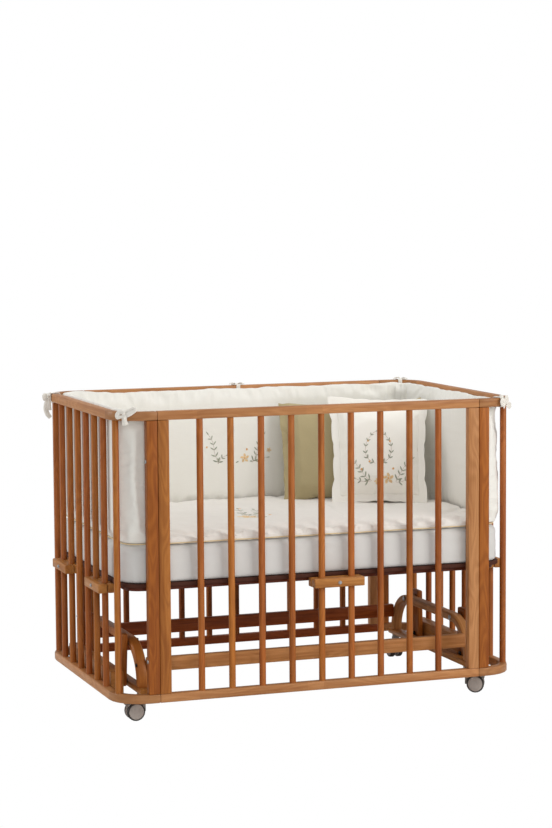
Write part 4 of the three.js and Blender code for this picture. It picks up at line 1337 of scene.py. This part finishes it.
def make_tie(name, spot, width, seed, knots, ribbons):
    """One tie round a top rail. Within it +X runs along the rail and -Y points away from the cage."""
    points, faces = [], []
    band(points, faces, width, seed)
    for centre, radii in knots:
        knot(points, faces, centre, radii, seed)
    for face_to, widths, *path in ribbons:
        ribbon(points, faces, path, widths, face_to)
    here, outside = rail_ring.at(place_on_rail(*spot))
    upright = Vector((0, 0, 1))
    middle = here + outside * RAIL / 2 + upright * (rail_high.z - RAIL / 2)
    turned = Matrix((upright.cross(outside), -outside, upright)).transposed()
    piece = new_piece(name, [turned @ (p * MM) + middle for p in points], faces, tie_cotton)
    outward(piece)
    refine(piece)
    attach(piece, "cage")


# Each tie: its place, its band's width, a seed, its knots (middle and radii), and its ribbons: where the
# flat side faces, the widths along it, and its path.
FRONT, UP, SIDE = (0, -1, 0), (0, -0.3, 1), (1, -0.3, 0)
TIES = {
    "tie_front_left": ((-542, -349), 15, 1.3, (((0, -3.5, 0), (7.5, 5, 8)), ((-3, -4, 7), (6, 4, 5))), (
        (FRONT, (9, 12, 13, 13, 11, 9, 7), (0, -3, 2), (-6, -3, 11), (-13, -2, 12), (-20, -4, 5),
         (-19, -6, -2), (-12, -6, -1), (-2, -5, 1)),
        (FRONT, (8, 11, 12, 9, 11, 10, 7), (1, -3, 1), (9, -4, 4), (19, -3, 10), (31, -2, 18), (25, 1, 21),
         (15, 1, 17), (4, -3, 5)),
        (FRONT, (8, 11, 16, 19), (0, -4, 0), (0, -6, -8), (1, -5, -15), (3, -4, -22)),
        (UP, (8, 11, 12, 11), (-1, -4, 4), (-2, -3, 12), (1, 2, 15), (6, 6, 17)))),
    "tie_front_right": ((536, -352), 24, 4.1, (
        ((-4, -5, 3), (11, 7, 10)), ((9, -6, -1), (9, 6, 8)), ((-1, -5, -8), (9, 5, 6))), (
        (FRONT, (8, 11, 11, 10, 8), (0, -6, 2), (-10, -7, 8), (-16, -6, 2), (-12, -7, -7), (-2, -8, -4)),
        (FRONT, (8, 11, 11, 10, 8), (2, -7, 3), (8, -7, 13), (16, -5, 12), (15, -7, 2), (6, -8, 0)),
        (FRONT, (9, 11, 12, 11, 10, 8), (8, -7, 0), (17, -9, -4), (26, -8, -9), (25, -8, -15),
         (16, -9, -14), (8, -8, -8)),
        (FRONT, (9, 12, 11), (-2, -6, -2), (-6, -8, -12), (-8, -7, -14)),
        (UP, (10, 12, 12, 10), (-2, -3, 6), (-4, 0, 14), (2, 4, 16), (9, 6, 15)))),
    "tie_back_left": ((-571, 298), 16, 2.2, (((0, -4, -1), (7, 6, 8)), ((1, -8, 2), (6, 5, 6))), (
        (SIDE, (8, 12, 14, 12, 8), (0, -4, -1), (-4, -12, 6), (-2, -18, 6), (0, -17, -4), (0, -6, -4)),
        (FRONT, (8, 11, 12, 10, 8), (0, -5, -1), (4, -8, 7), (7, -5, 11), (6, 0, 12), (2, 2, 8)),
        (SIDE, (8, 13, 15, 14, 12), (0, -5, -4), (-1, -13, -16), (1, -15, -32), (0, -10, -48), (1, -2, -58)),
        (SIDE, (8, 12, 14), (1, -4, -4), (3, -6, -18), (2, -5, -36)))),
    "tie_back_centre": ((8, 364), 15, 3.4, (((0, -3, 3), (7, 5, 7)), ((0, 12, 13), (8, 7, 4))), (
        (UP, (7, 10, 10, 9, 6), (0, 8, 13), (-10, 10, 17), (-20, 13, 15), (-13, 17, 13), (-2, 14, 13)),
        (UP, (7, 10, 10, 9, 6), (0, 8, 13), (10, 9, 17), (21, 12, 16), (14, 17, 13), (2, 14, 13)),
        (FRONT, (7, 11, 14), (0, -4, 0), (-3, -7, -16), (-7, -6, -40)),
        (FRONT, (7, 10, 13), (1, -4, 0), (4, -7, -14), (9, -6, -36)))),
    "tie_back_right": ((536, 352), 15, 5.0, (((0, -3, 3), (7, 5, 7)), ((0, 12, 13), (8, 7, 4))), (
        (UP, (7, 10, 10, 9, 6), (0, 8, 13), (-10, 10, 17), (-19, 13, 14), (-12, 17, 13), (-2, 14, 13)),
        (UP, (7, 10, 10, 9, 6), (0, 8, 13), (9, 9, 18), (19, 12, 15), (13, 17, 13), (2, 14, 13)),
        (FRONT, (7, 11, 14), (0, -4, 0), (-4, -7, -15), (-6, -6, -38)),
        (FRONT, (7, 10, 13), (1, -4, 0), (3, -7, -14), (8, -6, -34))))}
for tie_name, tie in TIES.items():
    make_tie(tie_name, *tie)

# ---- small hardware ----
# Turned parts as (radius, height, hexagonal) rings in mm: a low domed head with a hexagonal socket, a
# hexagonal head on a washer, a wheel's hub cap, and a dark ring round it that paints the shade in the gap
# there.
SOCKET_HEAD = ((5.0, -0.4, 0), (5.6, 0.2, 0), (5.6, 1.2, 0), (5.0, 2.2, 0), (3.6, 2.9, 0), (2.5, 3.1, 0),
               (2.3, 2.9, 1), (2.3, 1.2, 1), (0.3, 1.0, 1))
HEX_HEAD = ((4.8, -0.3, 0), (5.2, 0.1, 0), (5.2, 0.7, 0), (4.9, 1.0, 0), (3.9, 1.0, 0), (3.9, 1.1, 1),
            (4.2, 1.4, 1), (4.2, 3.2, 1), (3.8, 3.7, 1), (2.0, 3.8, 0), (0.4, 3.8, 0))
HUB_CAP = ((19.8, -0.6, 0), (20.4, -0.1, 0), (20.1, 0.6, 0), (18.6, 1.3, 0), (14, 1.9, 0), (8, 2.3, 0),
           (3, 2.4, 0), (0.4, 2.4, 0))
# A dark ring round the hub cap: painted shade for the gap there.
HUB_GAP_SHADE = ((23.6, -0.9, 0), (24.2, -0.4, 0), (23.8, 0.3, 0), (22.2, 0.7, 0), (20.9, 0.4, 0), (20.7, -0.5, 0),
           (0.4, -0.5, 0))
BOLT_LEVELS = (714 * MM, 178 * MM)


def add_hardware(name, profile, spots, material, body, sides=24):
    """One object of closed turned parts, at each (place, direction)."""
    points, faces = [], []
    for place, way in spots:
        first = way.orthogonal().normalized()
        second = way.cross(first)
        faces += tube_faces(len(profile), sides, len(points))
        for radius, height, hexagonal in profile:
            for turn in (2 * math.pi * k / sides for k in range(sides)):
                reach = radius
                if hexagonal:
                    reach *= math.cos(math.pi / 6) / math.cos(turn % (math.pi / 3) - math.pi / 6)
                arm = first * math.cos(turn) + second * math.sin(turn)
                points.append(place + (arm * reach + way * height) * MM)
    piece = new_piece(name, points, faces, material)
    outward(piece)
    hard_corners(piece, 40)
    attach(piece, body)


def outer_face(name, axis):
    """The middle of a node's face that looks away from the crib along an axis, and that direction."""
    low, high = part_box(name)
    place, way = (low + high) / 2, Vector((0, 0, 0))
    way[axis] = math.copysign(1, place[axis])
    place[axis] = high[axis] if place[axis] > 0 else low[axis]
    return place, way


def make_bolts():
    """The bolts of the end posts, the clamps, and the arches where the stand rails end."""
    posts, stand = [], []
    clamps = [outer_face("clamp_front", 1), outer_face("clamp_back", 1)]
    for end in ("left", "right"):
        for side in ("front", "back"):
            clamps.append(outer_face(f"clamp_{end}_{side}", 0))
            place, way = outer_face(f"{end}_end_post_{side}", 0)
            posts += [(Vector((place.x, place.y, level)), way) for level in BOLT_LEVELS]
        for side in ("front", "rear"):
            place, way = outer_face(f"arch_{end}", 0)
            low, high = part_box(f"stand_rail_{side}")
            stand.append((Vector((place.x, *((low + high) / 2).yz)), way))
    add_hardware("end_post_bolts", SOCKET_HEAD, posts, zinc, "cage")
    add_hardware("clamp_bolts", HEX_HEAD, clamps, zinc, "bed")
    add_hardware("stand_bolts", SOCKET_HEAD, stand, black_oxide, "stand")


def make_hubs():
    """The hub cap on each wheel's outer face, with a dark ring round it that paints the shade in the gap
    there.
    """
    for side, end in CASTER_TURNS:
        centre, axle, _ = wheels_of(side, end)
        vertices = nodes[f"caster_wheels_{side}_{end}"].data.vertices
        reach = max((v.co - centre).dot(axle) for v in vertices)
        spots = [(centre + axle * reach * way, axle * way) for way in SIDES]
        body = f"wheels_{side}_{end}"
        add_hardware(f"hub_caps_{side}_{end}", HUB_CAP, spots, wheel_face, body)
        # The dark ring is painted shade for the gap round the hub cap.
        add_hardware(f"hub_gap_shades_{side}_{end}", HUB_GAP_SHADE, spots, wheel_tyre, body)


make_bolts()
make_hubs()
